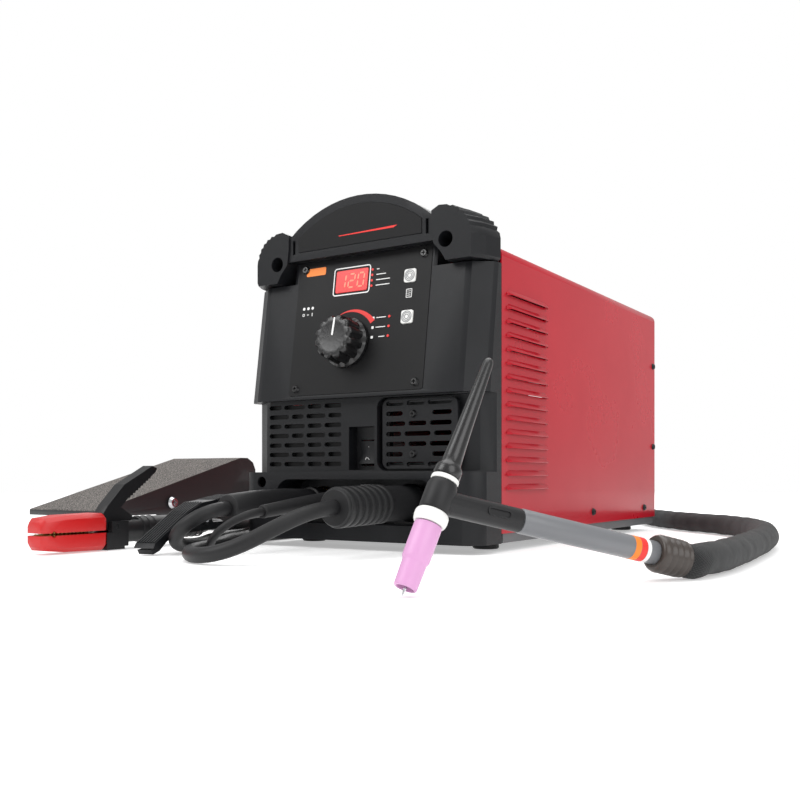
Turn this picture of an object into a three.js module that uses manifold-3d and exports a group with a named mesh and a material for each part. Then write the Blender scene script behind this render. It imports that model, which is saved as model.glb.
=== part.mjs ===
// A portable TIG welding machine with its torch, electrode holder, work clamp and foot pedal.
// Millimetres, +Z up. The machine's front looks along -Y, and X = 0 is its middle plane.
// Inside the outfit group, heights count from the surface that the feet stand on.
// The exported group's origin is the middle of the base tray's underside.

import * as THREE from 'three';
import { mergeVertices } from 'three/addons/utils/BufferGeometryUtils.js';
import Module from 'manifold-3d';

const wasm = await Module();
wasm.setup();

// ---------------------------------------------------------------- driving dimensions

const GAP = 0.3; // between two pieces that touch
const SHEET = 1.5; // sheet metal of the case

// case
const CASE_WIDTH = 277;
const CASE_DEPTH = 451; // red cover, from the front seam to the rear edge
const CASE_TOP = 282; // height of the cover's top
const COVER_BOTTOM = 17; // height of the cover's lower edge
const CASE_CORNER = 9; // bend radius of the cover's long edges
const SEAM_Y = -205; // where the cover meets the front moulding
const FOOT_HEIGHT = 8;
const FOOT_RADIUS = 13;
const FOOT_INSET = 34; // from the case's sides and ends to a foot's middle
const FOOT_SEAT = 0.6; // depth of the foot's seat in the tray
const FOOT_SEAT_CLEARANCE = 1; // round the foot

// louvres pressed in both sides of the cover
const LOUVRE_COUNT = 15;
const LOUVRE_PITCH = 12.9;
const LOUVRE_LENGTH = 92;
const LOUVRE_OPENING = 4.6;
const LOUVRE_DEPTH = 4.2;
const LOUVRE_FROM_SEAM = 9;
const LOUVRE_LOWEST = 58;

// front moulding: a foot zone, a grille zone set back, and a fascia that leans back
const WALL = 3.2;
const FASCIA_TILT = 8.2 * Math.PI / 180;
const FASCIA_BOTTOM = 146;
const FASCIA_TOP = 265.5;
const FASCIA_Y = -247;
const GRILLE_BOTTOM = 74;
const GRILLE_Y = -237;
const FOOT_ZONE_Y = -250;
const CORNER_CUT = 21; // width of the slanted corners of the fascia
const CORNER_CUT_DEPTH = 16;

// control panel
const PANEL_WIDTH = 157;
const PANEL_HEIGHT = 137;
const PANEL_THICK = 2.5;
const PANEL_PROUD = 0.5;
const PANEL_FOOT = 4; // from the fascia's lower edge to the panel
const KNOB_X = -11;
const KNOB_UP = 50; // from the panel's lower edge, as the next ones are
const KNOB_RADIUS = 25;
const KNOB_HEIGHT = 25;
const KNOB_SCALLOPS = 12;
const WINDOW_X = -12;
const WINDOW_UP = 113;
const WINDOW_WIDTH = 38;
const WINDOW_HEIGHT = 22.5;
const BUTTON_X = 56;
const BUTTON_SIZE = 13;
const PAGE_BUTTON_UP = 110;
const MODE_BUTTON_UP = 70;
const BUTTON_TRAVEL = 0.8;

// brow handle
const BROW_Y = -240;
const BROW_DEPTH = 33;
const ARCH_HALF = 80;
const ARCH_BOTTOM = 287;
const ARCH_RISE = 28;
const ARCH_TOP = 342;
const BROW_WALL = 4;
const SHOULDER_HOLE = 7.5;

// grilles and switch
const SLOT_HEIGHT = 4.4;
const SLOT_PITCH = 9.6;
const SLOT_ROWS = 7;
const VENT_LEFT = 24; // right grille, from the middle plane
const VENT_WIDTH = 82;
const VENT_HEIGHT = 66;
const VENT_THICK = 3;
const SWITCH_X = 4;
const SWITCH_Z = 97;
const SWITCH_WIDTH = 30;
const SWITCH_HEIGHT = 42;
const ROCKER_WIDTH = 19;
const ROCKER_HEIGHT = 25;

// connector recess and sockets
const RECESS_HALF = 92;
const RECESS_BELOW = 21; // from the sockets' middle to the recess's floor
const RECESS_ABOVE = 22; // and to its roof
const RECESS_BACK = -214;
const SOCKET_Z = 45;
const WORK_SOCKET_X = -58;
const ELECTRODE_SOCKET_X = 55;
const REMOTE_SOCKET_X = 0;
const REMOTE_SOCKET_UP = 5; // above the two others
const SOCKET_RADIUS = 15;
const WORK_BOOT_RADIUS = 13;
const ELECTRODE_BOOT_RADIUS = 17.5;
const REMOTE_RING_RADIUS = 10;

// leads
const LEAD = 13; // welding leads, diameter
const THIN_LEAD = 7; // pedal lead
const COVER_SLEEVE = 24; // woven cover over the torch lead

// fan
const FAN_SIZE = 120;
const FAN_DEPTH = 36;
const FAN_Z = 150;
const FAN_BORE = 56;
const ROTOR_RADIUS = 53;
const HUB_RADIUS = 20;
const BLADES = 7;

// rear panel's cord gland and gas inlet
const GLAND_X = 92;
const GLAND_Z = 62;
const GLAND_RADIUS = 10;
const INLET_X = -92;
const INLET_Z = 62;
const INLET_RADIUS = 6;

// torch: its head's middle, the electrode's tip and the lead end of its handle, as it lies
const TORCH_HEAD = new THREE.Vector3(239, -494, 55);
const TORCH_TIP = new THREE.Vector3(233, -524, 0.6);
const TORCH_TAIL = new THREE.Vector3(335, -349, 16);
const TORCH_HANDLE_RADIUS = 8;
const COLLAR_RADIUS = 13;
const COLLAR_LENGTH = 25;

// electrode holder
const HOLDER = new THREE.Vector3(-198, -455, 18);
const HOLDER_LENGTH = 215;
const JAW_LENGTH = 70;
const JAW_WIDTH = 28;
const HANDLE_RADIUS = 12.5;

// work clamp
const CLAMP = new THREE.Vector3(-110, -408, 0);
const CLAMP_TURN = 14 * Math.PI / 180;
const CLAMP_WIDTH = 20;

// foot pedal
const PEDAL = new THREE.Vector3(-412, -258, 0);
const PEDAL_WIDTH = 128;
const PEDAL_LENGTH = 268;
const PEDAL_LOW = 30;
const PEDAL_HIGH = 95;
const PEDAL_WALL = 3;
const PEDAL_SKIRT = 23; // height of the cover's lower edge
const PEDAL_PIN_Y = 111;
const PEDAL_PIN_Z = 37;
const RELIEF_RADIUS = 6;
const RELIEF_LENGTH = 26;

const SIDE = CASE_WIDTH / 2;
const REAR_Y = SEAM_Y + CASE_DEPTH;
const LEAN = Math.tan(FASCIA_TILT);
const TRAY_FRONT = SEAM_Y + 6;
const RECESS_BOTTOM = SOCKET_Z - RECESS_BELOW;
const RECESS_TOP = SOCKET_Z + RECESS_ABOVE;
const REMOTE_SOCKET_Z = SOCKET_Z + REMOTE_SOCKET_UP;
const FOOT_PLACES = [-SIDE + FOOT_INSET, SIDE - FOOT_INSET].flatMap((x) => (
  [SEAM_Y + FOOT_INSET, REAR_Y - FOOT_INSET].map((y) => [x, y])));

// ---------------------------------------------------------------- finishes

const FINISHES = {
  red_paint: { color: 0xb0101c, roughness: 0.25, metalness: 0.2 },
  grey_steel: { color: 0x6d7074, roughness: 0.5, metalness: 0.6 },
  black_moulding: { color: 0x1c1d1f, roughness: 0.55, metalness: 0 },
  panel_film: { color: 0x101112, roughness: 0.7, metalness: 0 },
  red_lens: { color: 0xc01512, roughness: 0.2, metalness: 0 },
  knob_plastic: { color: 0x141516, roughness: 0.45, metalness: 0 },
  white_plastic: { color: 0xe8e8e6, roughness: 0.5, metalness: 0 },
  black_rubber: { color: 0x202124, roughness: 0.7, metalness: 0 },
  brass: { color: 0xb8923c, roughness: 0.35, metalness: 1 },
  bright_steel: { color: 0xc9ccd0, roughness: 0.25, metalness: 1 },
  aluminium: { color: 0xb4b8bc, roughness: 0.4, metalness: 1 },
  green_board: { color: 0x14522c, roughness: 0.5, metalness: 0 },
  pink_ceramic: { color: 0xe3b3d6, roughness: 0.45, metalness: 0 },
  grey_plastic: { color: 0x9a9c9f, roughness: 0.4, metalness: 0 },
  brown_clamp: { color: 0x3a3028, roughness: 0.45, metalness: 0.3 },
  woven_cover: { color: 0x2c2e31, roughness: 0.9, metalness: 0 },
  red_insulator: { color: 0xd62a28, roughness: 0.5, metalness: 0 },
  pedal_paint: { color: 0x1a1a1b, roughness: 0.3, metalness: 0.2 },
};

// ---------------------------------------------------------------- shape helpers

// a closed surface as a solid, its faces turned outwards
function solid(geometry) {
  const bare = geometry.index ? geometry.toNonIndexed() : geometry.clone();
  bare.deleteAttribute('normal');
  bare.deleteAttribute('uv');
  const merged = mergeVertices(bare, 1e-4);
  const place = merged.attributes.position;
  const corner = (i) => new THREE.Vector3().fromBufferAttribute(place, i);
  const faces = [];
  let volume = 0;
  for (let i = 0; i < merged.index.count; i += 3) {
    const [a, b, c] = [0, 1, 2].map((k) => merged.index.getX(i + k));
    if (a === b || b === c || c === a) continue;
    faces.push([a, b, c]);
    volume += corner(a).dot(corner(b).cross(corner(c)));
  }
  const outward = volume > 0 ? faces : faces.map(([a, b, c]) => [a, c, b]);
  return new wasm.Manifold(new wasm.Mesh({
    numProp: 3,
    vertProperties: new Float32Array(place.array),
    triVerts: new Uint32Array(outward.flat()),
  }));
}

function geometryOf(shape) {
  const mesh = shape.getMesh();
  const geometry = new THREE.BufferGeometry();
  geometry.setAttribute('position', new THREE.BufferAttribute(new Float32Array(mesh.vertProperties), 3));
  geometry.setIndex(new THREE.BufferAttribute(new Uint32Array(mesh.triVerts), 1));
  const flat = geometry.toNonIndexed();
  flat.computeVertexNormals();
  return flat;
}

const join = (...shapes) => shapes.reduce((whole, shape) => whole.add(shape));
const cut = (whole, ...tools) => tools.reduce((rest, tool) => rest.subtract(tool), whole);

function slab(x0, x1, y0, y1, z0, z1) {
  const geometry = new THREE.BoxGeometry(x1 - x0, y1 - y0, z1 - z0);
  geometry.translate((x0 + x1) / 2, (y0 + y1) / 2, (z0 + z1) / 2);
  return solid(geometry);
}

function outline(points) {
  return new THREE.Shape(points.map(([a, b]) => new THREE.Vector2(a, b)));
}

function roundedRect(width, height, radius, x = 0, y = 0) {
  const [w, h, r] = [width / 2, height / 2, Math.min(radius, width / 2 - 0.01, height / 2 - 0.01)];
  const shape = new THREE.Shape();
  shape.absarc(x + w - r, y + h - r, r, 0, Math.PI / 2);
  shape.absarc(x - w + r, y + h - r, r, Math.PI / 2, Math.PI);
  shape.absarc(x - w + r, y - h + r, r, Math.PI, Math.PI * 1.5);
  shape.absarc(x + w - r, y - h + r, r, Math.PI * 1.5, Math.PI * 2);
  shape.closePath();
  return shape;
}

// a shape drawn in XY, from height z0 to z1
function upright(shape, z0, z1, segments = 4) {
  const geometry = new THREE.ExtrudeGeometry(shape, {
    depth: z1 - z0, bevelEnabled: false, curveSegments: segments,
  });
  geometry.translate(0, 0, z0);
  return geometry;
}

// a shape drawn in XZ, from y0 back to y1
function across(shape, y0, y1, segments = 4) {
  const geometry = upright(shape, 0, y1 - y0, segments);
  geometry.rotateX(Math.PI / 2);
  geometry.translate(0, y1, 0);
  return geometry;
}

// a shape drawn in YZ, from x0 to x1
function sideways(shape, x0, x1, segments = 4) {
  const geometry = upright(shape, x0, x1, segments);
  geometry.applyMatrix4(new THREE.Matrix4().makeBasis(
    new THREE.Vector3(0, 1, 0), new THREE.Vector3(0, 0, 1), new THREE.Vector3(1, 0, 0),
  ));
  return geometry;
}

// a body of revolution about Z; profile points are [radius, height]
function turned(profile, segments = 20) {
  const geometry = new THREE.LatheGeometry(profile.map(([r, z]) => new THREE.Vector2(r, z)), segments);
  geometry.rotateX(Math.PI / 2);
  return geometry;
}

// the same, with its axis along -Y: heights run out towards the front
function turnedForward(profile, x, y, z, segments = 20) {
  const geometry = turned(profile, segments);
  geometry.rotateX(Math.PI / 2);
  geometry.translate(x, y, z);
  return geometry;
}

// a round bar between two points
function bar(from, to, radius, segments = 16) {
  const geometry = new THREE.CylinderGeometry(radius, radius, from.distanceTo(to), segments);
  const aim = new THREE.Quaternion().setFromUnitVectors(
    new THREE.Vector3(0, 1, 0), to.clone().sub(from).normalize(),
  );
  geometry.applyQuaternion(aim);
  geometry.translate((from.x + to.x) / 2, (from.y + to.y) / 2, (from.z + to.z) / 2);
  return geometry;
}

const rod = (x0, y0, z0, x1, y1, z1, radius, segments) => solid(
  bar(new THREE.Vector3(x0, y0, z0), new THREE.Vector3(x1, y1, z1), radius, segments),
);

// a closed skin through rings of points that all have the same number of points
function loft(rings) {
  const count = rings[0].length;
  const positions = rings.flat(2);
  const faces = [];
  for (let r = 0; r + 1 < rings.length; r += 1) {
    for (let i = 0; i < count; i += 1) {
      const a = r * count + i;
      const b = r * count + (i + 1) % count;
      faces.push(a, b, b + count, a, b + count, a + count);
    }
  }
  const flat = rings[0].map((p) => new THREE.Vector2(p[0], p[2]));
  const turn = Math.sign(THREE.ShapeUtils.area(flat));
  const last = (rings.length - 1) * count;
  THREE.ShapeUtils.triangulateShape(flat, []).forEach(([a, b, c]) => {
    const same = Math.sign(THREE.ShapeUtils.area([flat[a], flat[b], flat[c]])) === turn;
    const [p, q] = same ? [b, c] : [c, b];
    faces.push(a, q, p);
    faces.push(last + a, last + p, last + q);
  });
  const geometry = new THREE.BufferGeometry();
  geometry.setAttribute('position', new THREE.Float32BufferAttribute(positions, 3));
  geometry.setIndex(faces);
  return solid(geometry);
}

// leans a shape back with height, from the fascia's lower edge up
function leanBack(geometry) {
  const shear = new THREE.Matrix4().set(
    1, 0, 0, 0,
    0, 1, LEAN, -LEAN * FASCIA_BOTTOM,
    0, 0, 1, 0,
    0, 0, 0, 1,
  );
  return geometry.applyMatrix4(shear);
}

// ---------------------------------------------------------------- scene graph

const outfit = new THREE.Group();
outfit.position.z = -FOOT_HEIGHT;

function place(name, shape, finish, parent = outfit) {
  const geometry = shape instanceof THREE.BufferGeometry ? geometryOf(solid(shape)) : geometryOf(shape);
  const mesh = new THREE.Mesh(geometry, new THREE.MeshStandardMaterial(FINISHES[finish]));
  mesh.name = name;
  parent.add(mesh);
  return mesh;
}

function group(parent = outfit) {
  const made = new THREE.Group();
  parent.add(made);
  return made;
}

// ---------------------------------------------------------------- case

function baseTray() {
  const half = SIDE - SHEET - GAP;
  const front = TRAY_FRONT;
  const back = REAR_Y - SHEET * 2 - GAP;
  const outer = slab(-half, half, front, back, FOOT_HEIGHT, COVER_BOTTOM + 10);
  const inner = slab(-half + SHEET, half - SHEET, front + SHEET, back - SHEET,
    FOOT_HEIGHT + SHEET, COVER_BOTTOM + 11);
  const seats = FOOT_PLACES.map(([x, y]) => rod(x, y, FOOT_HEIGHT - 1, x, y, FOOT_HEIGHT + FOOT_SEAT,
    FOOT_RADIUS + FOOT_SEAT_CLEARANCE, 24));
  return cut(outer, inner, ...seats);
}

function louvre(side, z) {
  const y0 = SEAM_Y + LOUVRE_FROM_SEAM;
  const y1 = y0 + LOUVRE_LENGTH;
  const face = side * SIDE;
  const reach = side * LOUVRE_DEPTH;
  const ring = (y, out, drop) => [
    [face - side * SHEET * 0.6, y, z + LOUVRE_OPENING + drop],
    [face + out, y, z + drop * 0.5],
    [face + out, y, z - 1.1 + drop * 0.5],
    [face - side * SHEET * 0.6, y, z + LOUVRE_OPENING - 1.4],
  ];
  const rings = [ring(y0, reach * 0.25, 0), ring(y0 + 5, reach, 1), ring(y1 - 5, reach, 1),
    ring(y1, reach * 0.25, 0)];
  if (side > 0) rings.reverse();
  return hoodFrom(rings);
}

// a pressed hood from four rings of four points, closed at both ends
function hoodFrom(rings) {
  const faces = [];
  for (let r = 0; r < 3; r += 1) {
    for (let i = 0; i < 4; i += 1) {
      const a = r * 4 + i;
      const b = r * 4 + (i + 1) % 4;
      faces.push(a, b, b + 4, a, b + 4, a + 4);
    }
  }
  faces.push(0, 2, 1, 0, 3, 2, 12, 13, 14, 12, 14, 15);
  const geometry = new THREE.BufferGeometry();
  geometry.setAttribute('position', new THREE.Float32BufferAttribute(rings.flat(2), 3));
  geometry.setIndex(faces);
  return solid(geometry);
}

function caseCover() {
  const profile = (inset) => {
    const [w, top, r] = [SIDE - inset, CASE_TOP - inset, CASE_CORNER - inset];
    const shape = new THREE.Shape();
    shape.moveTo(-w, COVER_BOTTOM - (inset ? 1 : 0));
    shape.lineTo(w, COVER_BOTTOM - (inset ? 1 : 0));
    shape.absarc(w - r, top - r, r, 0, Math.PI / 2);
    shape.absarc(-w + r, top - r, r, Math.PI / 2, Math.PI);
    shape.closePath();
    return shape;
  };
  const outer = solid(across(profile(0), SEAM_Y, REAR_Y, 5));
  const inner = solid(across(profile(SHEET), SEAM_Y - 1, REAR_Y + 1, 5));
  let cover = cut(outer, inner);
  const y0 = SEAM_Y + LOUVRE_FROM_SEAM + 4;
  const y1 = y0 + LOUVRE_LENGTH - 8;
  for (const side of [-1, 1]) {
    for (let i = 0; i < LOUVRE_COUNT; i += 1) {
      const z = LOUVRE_LOWEST + i * LOUVRE_PITCH;
      const edges = [side * (SIDE - SHEET - 1), side * (SIDE + 1)].sort((a, b) => a - b);
      cover = cut(cover, slab(edges[0], edges[1], y0, y1, z, z + LOUVRE_OPENING - 1.5));
      cover = join(cover, louvre(side, z));
    }
  }
  return cover;
}

function rearPanel() {
  const half = SIDE - SHEET - GAP;
  const [y0, y1] = [REAR_Y - SHEET * 2, REAR_Y - SHEET];
  const shape = new THREE.Shape();
  const [top, r] = [CASE_TOP - SHEET - GAP, CASE_CORNER - SHEET];
  shape.moveTo(-half, FOOT_HEIGHT);
  shape.lineTo(half, FOOT_HEIGHT);
  shape.absarc(half - r, top - r, r, 0, Math.PI / 2);
  shape.absarc(-half + r, top - r, r, Math.PI / 2, Math.PI);
  shape.closePath();
  let panel = solid(across(shape, y0, y1, 4));
  const bars = 9;
  const pitch = FAN_BORE * 2 / (bars + 1);
  for (let i = 0; i < bars; i += 1) {
    const z = FAN_Z + (i - (bars - 1) / 2) * pitch;
    const width = Math.sqrt(FAN_BORE ** 2 - (Math.abs(z - FAN_Z) + pitch / 4) ** 2);
    panel = cut(panel, slab(-width, -3, y0 - 1, y1 + 1, z - pitch / 3, z + pitch / 3));
    panel = cut(panel, slab(3, width, y0 - 1, y1 + 1, z - pitch / 3, z + pitch / 3));
  }
  const hole = (x, z, radius) => rod(x, y0 - 1, z, x, y1 + 1, z, radius, 16);
  return cut(panel, hole(GLAND_X, GLAND_Z, GLAND_RADIUS + GAP), hole(INLET_X, INLET_Z, INLET_RADIUS + GAP));
}

place('base_tray', baseTray(), 'grey_steel');
place('case_cover', caseCover(), 'red_paint');
place('rear_panel', rearPanel(), 'grey_steel');

function cordGland() {
  const y = REAR_Y - SHEET + GAP;
  const body = turned([[0, 0], [14, 0], [14, 6], [11, 8], [10, 20], [6.5, 22], [6.5, 8], [0, 8]], 20);
  body.rotateX(-Math.PI / 2);
  body.translate(GLAND_X, y, GLAND_Z);
  return join(solid(body), rod(GLAND_X, y - 10, GLAND_Z, GLAND_X, y + 1, GLAND_Z, GLAND_RADIUS, 20));
}

function gasInlet() {
  const y = REAR_Y - SHEET + GAP;
  const body = turned([[0, 0], [11, 0], [11, 7], [8, 8], [8, 20], [3.2, 20], [3.2, 9], [0, 9]], 20);
  body.rotateX(-Math.PI / 2);
  body.translate(INLET_X, y, INLET_Z);
  return join(solid(body), rod(INLET_X, y - 10, INLET_Z, INLET_X, y + 1, INLET_Z, INLET_RADIUS, 20));
}

place('cord_gland', cordGland(), 'black_rubber');
place('gas_inlet', gasInlet(), 'brass');

FOOT_PLACES.forEach(([x, y], i) => {
  const top = FOOT_HEIGHT + FOOT_SEAT - GAP;
  const foot = turned([[0, 0], [FOOT_RADIUS - 1.5, 0], [FOOT_RADIUS, 1.5], [FOOT_RADIUS - 1, top], [0, top]], 20);
  foot.translate(x, y, 0);
  place(`foot_${i + 1}`, foot, 'black_rubber');
});

// ---------------------------------------------------------------- front moulding

// plan of the moulding: flat front, slanted corners, straight flanks back to the seam
function plan(frontY, cutWidth, cutDepth, inset, back) {
  const [w, f] = [SIDE - inset, frontY + inset];
  const slope = inset * 0.4;
  const right = [
    [w - cutWidth - 3 + slope, f],
    [w - cutWidth + 3 + slope, f + 1.4],
    [w - 2.2, f + cutDepth - 2.5 - slope],
    [w, f + cutDepth + 3 - slope],
    [w, back],
  ];
  const left = right.slice().reverse().map(([x, y]) => [-x, y]);
  return outline([...right, ...left]);
}

function zone(frontY, cutWidth, cutDepth, inset, z0, z1, leaning = false) {
  const back = SEAM_Y - GAP + (inset ? 1 : 0);
  const deep = leaning ? back + 60 : back;
  const geometry = upright(plan(frontY, cutWidth, cutDepth, inset, deep), z0, z1);
  if (!leaning) return solid(geometry);
  const keep = slab(-SIDE - 5, SIDE + 5, FASCIA_Y - 5, back, z0 - 1, z1 + 1);
  return solid(leanBack(geometry)).intersect(keep);
}

// where the fascia's front surface stands at a height
const fasciaAt = (z) => FASCIA_Y + (z - FASCIA_BOTTOM) * LEAN;

const PANEL_POCKET = PANEL_THICK - PANEL_PROUD + GAP;

function panelGroup() {
  const made = group();
  made.position.set(0, fasciaAt(FASCIA_BOTTOM + PANEL_FOOT), FASCIA_BOTTOM + PANEL_FOOT);
  made.rotation.x = -FASCIA_TILT;
  made.updateMatrix();
  return made;
}

const panelFrame = panelGroup();

// a solid drawn in the panel's own frame, brought to the outfit's frame
const fromPanel = (geometry) => solid(geometry.applyMatrix4(panelFrame.matrix));

function slots(x0, x1, zMiddle, y0, y1, pattern) {
  const tools = [];
  for (let row = 0; row < SLOT_ROWS; row += 1) {
    const z = zMiddle + ((SLOT_ROWS - 1) / 2 - row) * SLOT_PITCH;
    const bridge = 3.4;
    const widths = pattern[row % pattern.length];
    const free = x1 - x0 - bridge * (widths.length - 1);
    const total = widths.reduce((sum, w) => sum + Math.abs(w), 0);
    let x = x0;
    widths.forEach((share) => {
      const width = free * Math.abs(share) / total;
      if (share > 0) {
        const shape = roundedRect(width, SLOT_HEIGHT, SLOT_HEIGHT / 2, x + width / 2, z);
        tools.push(solid(across(shape, y0, y1, 1)));
      }
      x += width + bridge;
    });
  }
  return tools;
}

const LEFT_GRILLE = [[14, 23, 15, 18], [24, 14, 22, 15]];
const RIGHT_GRILLE = [[20, 20, 26], [18, -24, 20], [22, 20, 24], [18, 30, 20], [22, 20, 24], [18, -24, 20],
  [20, 20, 26]];

function frontBezel() {
  const lift = FOOT_HEIGHT;
  const outer = join(
    zone(FOOT_ZONE_Y, 14, 12, 0, lift, GRILLE_BOTTOM),
    zone(GRILLE_Y, 25, 19, 0, GRILLE_BOTTOM - 1, FASCIA_BOTTOM + 1),
    zone(FASCIA_Y, CORNER_CUT, CORNER_CUT_DEPTH, 0, FASCIA_BOTTOM, FASCIA_TOP, true),
    zone(FASCIA_Y, CORNER_CUT + 34, CORNER_CUT_DEPTH, 0, FASCIA_TOP - 1, ARCH_BOTTOM - GAP, true)
      .intersect(slab(-ARCH_HALF - 4, ARCH_HALF + 4, FASCIA_Y - 5, SEAM_Y - GAP, FASCIA_TOP - 2, ARCH_BOTTOM)),
  );
  const hollow = join(
    zone(FOOT_ZONE_Y, 14, 12, WALL, lift + WALL, GRILLE_BOTTOM - WALL),
    zone(GRILLE_Y, 25, 19, WALL, GRILLE_BOTTOM - WALL - 1, FASCIA_BOTTOM + WALL + 1),
    zone(FASCIA_Y, CORNER_CUT, CORNER_CUT_DEPTH, WALL + 1.5, FASCIA_BOTTOM + WALL, FASCIA_TOP - WALL, true),
  );
  const recess = roundedRect(RECESS_HALF * 2, RECESS_TOP - RECESS_BOTTOM, 16, 0, (RECESS_TOP + RECESS_BOTTOM) / 2);
  const recessShell = roundedRect(RECESS_HALF * 2 + WALL * 2, RECESS_TOP - RECESS_BOTTOM + WALL * 2, 18, 0,
    (RECESS_TOP + RECESS_BOTTOM) / 2);
  const recessTool = solid(across(recess, FOOT_ZONE_Y - 5, RECESS_BACK, 6));
  const recessKeep = solid(across(recessShell, FOOT_ZONE_Y - 5, RECESS_BACK + WALL, 6));
  const switchKeep = slab(SWITCH_X - SWITCH_WIDTH / 2 - WALL, SWITCH_X + SWITCH_WIDTH / 2 + WALL,
    GRILLE_Y - 5, GRILLE_Y + 14 + WALL, SWITCH_Z - SWITCH_HEIGHT / 2 - WALL, SWITCH_Z + SWITCH_HEIGHT / 2 + WALL);
  const ventZ = (FASCIA_BOTTOM + GRILLE_BOTTOM) / 2;
  const ventKeep = solid(across(
    roundedRect(118 + WALL * 2, VENT_HEIGHT + 5 + WALL * 2, 12, VENT_LEFT + 56, ventZ), GRILLE_Y - 5, GRILLE_Y + 16, 6,
  )).intersect(zone(GRILLE_Y, 25, 19, 0, GRILLE_BOTTOM - 1, FASCIA_BOTTOM + 1));
  let bezel = cut(outer, cut(hollow, recessKeep, switchKeep, ventKeep));
  bezel = cut(bezel, recessTool);
  const switchPocket = slab(SWITCH_X - SWITCH_WIDTH / 2, SWITCH_X + SWITCH_WIDTH / 2, GRILLE_Y - 5,
    GRILLE_Y + 14, SWITCH_Z - SWITCH_HEIGHT / 2, SWITCH_Z + SWITCH_HEIGHT / 2);
  const rockerHole = slab(SWITCH_X - ROCKER_WIDTH / 2 - GAP, SWITCH_X + ROCKER_WIDTH / 2 + GAP, GRILLE_Y,
    GRILLE_Y + 30, SWITCH_Z - 4 - ROCKER_HEIGHT / 2 - GAP, SWITCH_Z - 4 + ROCKER_HEIGHT / 2 + GAP);
  const ventPocket = solid(across(
    roundedRect(112, VENT_HEIGHT + 4, 10, VENT_LEFT + 54, ventZ), GRILLE_Y - 20, GRILLE_Y + 10, 6,
  ));
  const ventHole = slab(VENT_LEFT + 6, VENT_LEFT + VENT_WIDTH - 8, GRILLE_Y, GRILLE_Y + 30,
    ventZ - VENT_HEIGHT / 2 + 6, ventZ + VENT_HEIGHT / 2 - 6);
  bezel = cut(bezel, switchPocket, rockerHole, ventPocket, ventHole);
  bezel = cut(bezel, ...slots(-112, -20, ventZ + 1, GRILLE_Y - 5, GRILLE_Y + WALL + 2, LEFT_GRILLE));
  const pocket = roundedRect(PANEL_WIDTH + GAP * 2, PANEL_HEIGHT + GAP * 2, 3, 0, PANEL_HEIGHT / 2);
  const opening = roundedRect(PANEL_WIDTH - 24, PANEL_HEIGHT - 24, 3, 0, PANEL_HEIGHT / 2);
  bezel = cut(bezel, fromPanel(across(pocket, -8, PANEL_POCKET, 3)), fromPanel(across(opening, -8, 20, 3)));
  for (const side of [-1, 1]) {
    bezel = cut(bezel, rod(side * 111, FOOT_ZONE_Y - 2, 65 - 1, side * 111, FOOT_ZONE_Y + 22, 65 - 1, 5.6, 16));
  }
  const socketHoles = [[WORK_SOCKET_X, SOCKET_Z, SOCKET_RADIUS - 3], [ELECTRODE_SOCKET_X, SOCKET_Z,
    SOCKET_RADIUS - 3], [REMOTE_SOCKET_X, REMOTE_SOCKET_Z, 8]];
  socketHoles.forEach(([x, z, radius]) => {
    bezel = cut(bezel, rod(x, RECESS_BACK - 1, z, x, RECESS_BACK + WALL + 4, z, radius + GAP, 20));
  });
  return bezel;
}

place('front_bezel', frontBezel(), 'black_moulding');

function archHeight(x, inset = 0) {
  const radius = (ARCH_HALF ** 2 + ARCH_RISE ** 2) / (2 * ARCH_RISE);
  return ARCH_TOP - radius + Math.sqrt((radius - inset) ** 2 - x ** 2);
}

function archShape(half, bottom, inset) {
  const steps = 16;
  const points = [[-half, bottom], [half, bottom]];
  for (let i = 0; i <= steps; i += 1) {
    const x = half - 2 * half * i / steps;
    points.push([x, archHeight(x, inset)]);
  }
  return outline(points);
}

// shoulder section at the front; ribs stand along its outer rounded corner
function shoulderRing(side, y, spread, inset = 0) {
  const ribs = 6;
  const points = [[84, 300], [86, 284], [94, 275], [99, FASCIA_TOP + GAP + 1], [124, FASCIA_TOP + GAP + 1],
    [125.5, 270], [125.5, 288]];
  for (let i = 0; i <= ribs * 2; i += 1) {
    const angle = (8 + 74 * i / (ribs * 2)) * Math.PI / 180;
    const radius = i % 2 ? 27.2 : 28.6;
    points.push([96.5 + radius * Math.cos(angle), 289 + radius * Math.sin(angle)]);
  }
  points.push([92, 318], [84, 314]);
  const middle = [106, 291];
  const ring = points.map(([x, z]) => {
    const wide = x > 95 ? 95 + (x - 95) * spread : x;
    const k = 1 - inset / 20;
    return [side * (middle[0] + (wide - middle[0]) * k), y, middle[1] + (z - middle[1]) * k];
  });
  return side > 0 ? ring.reverse() : ring;
}

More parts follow.
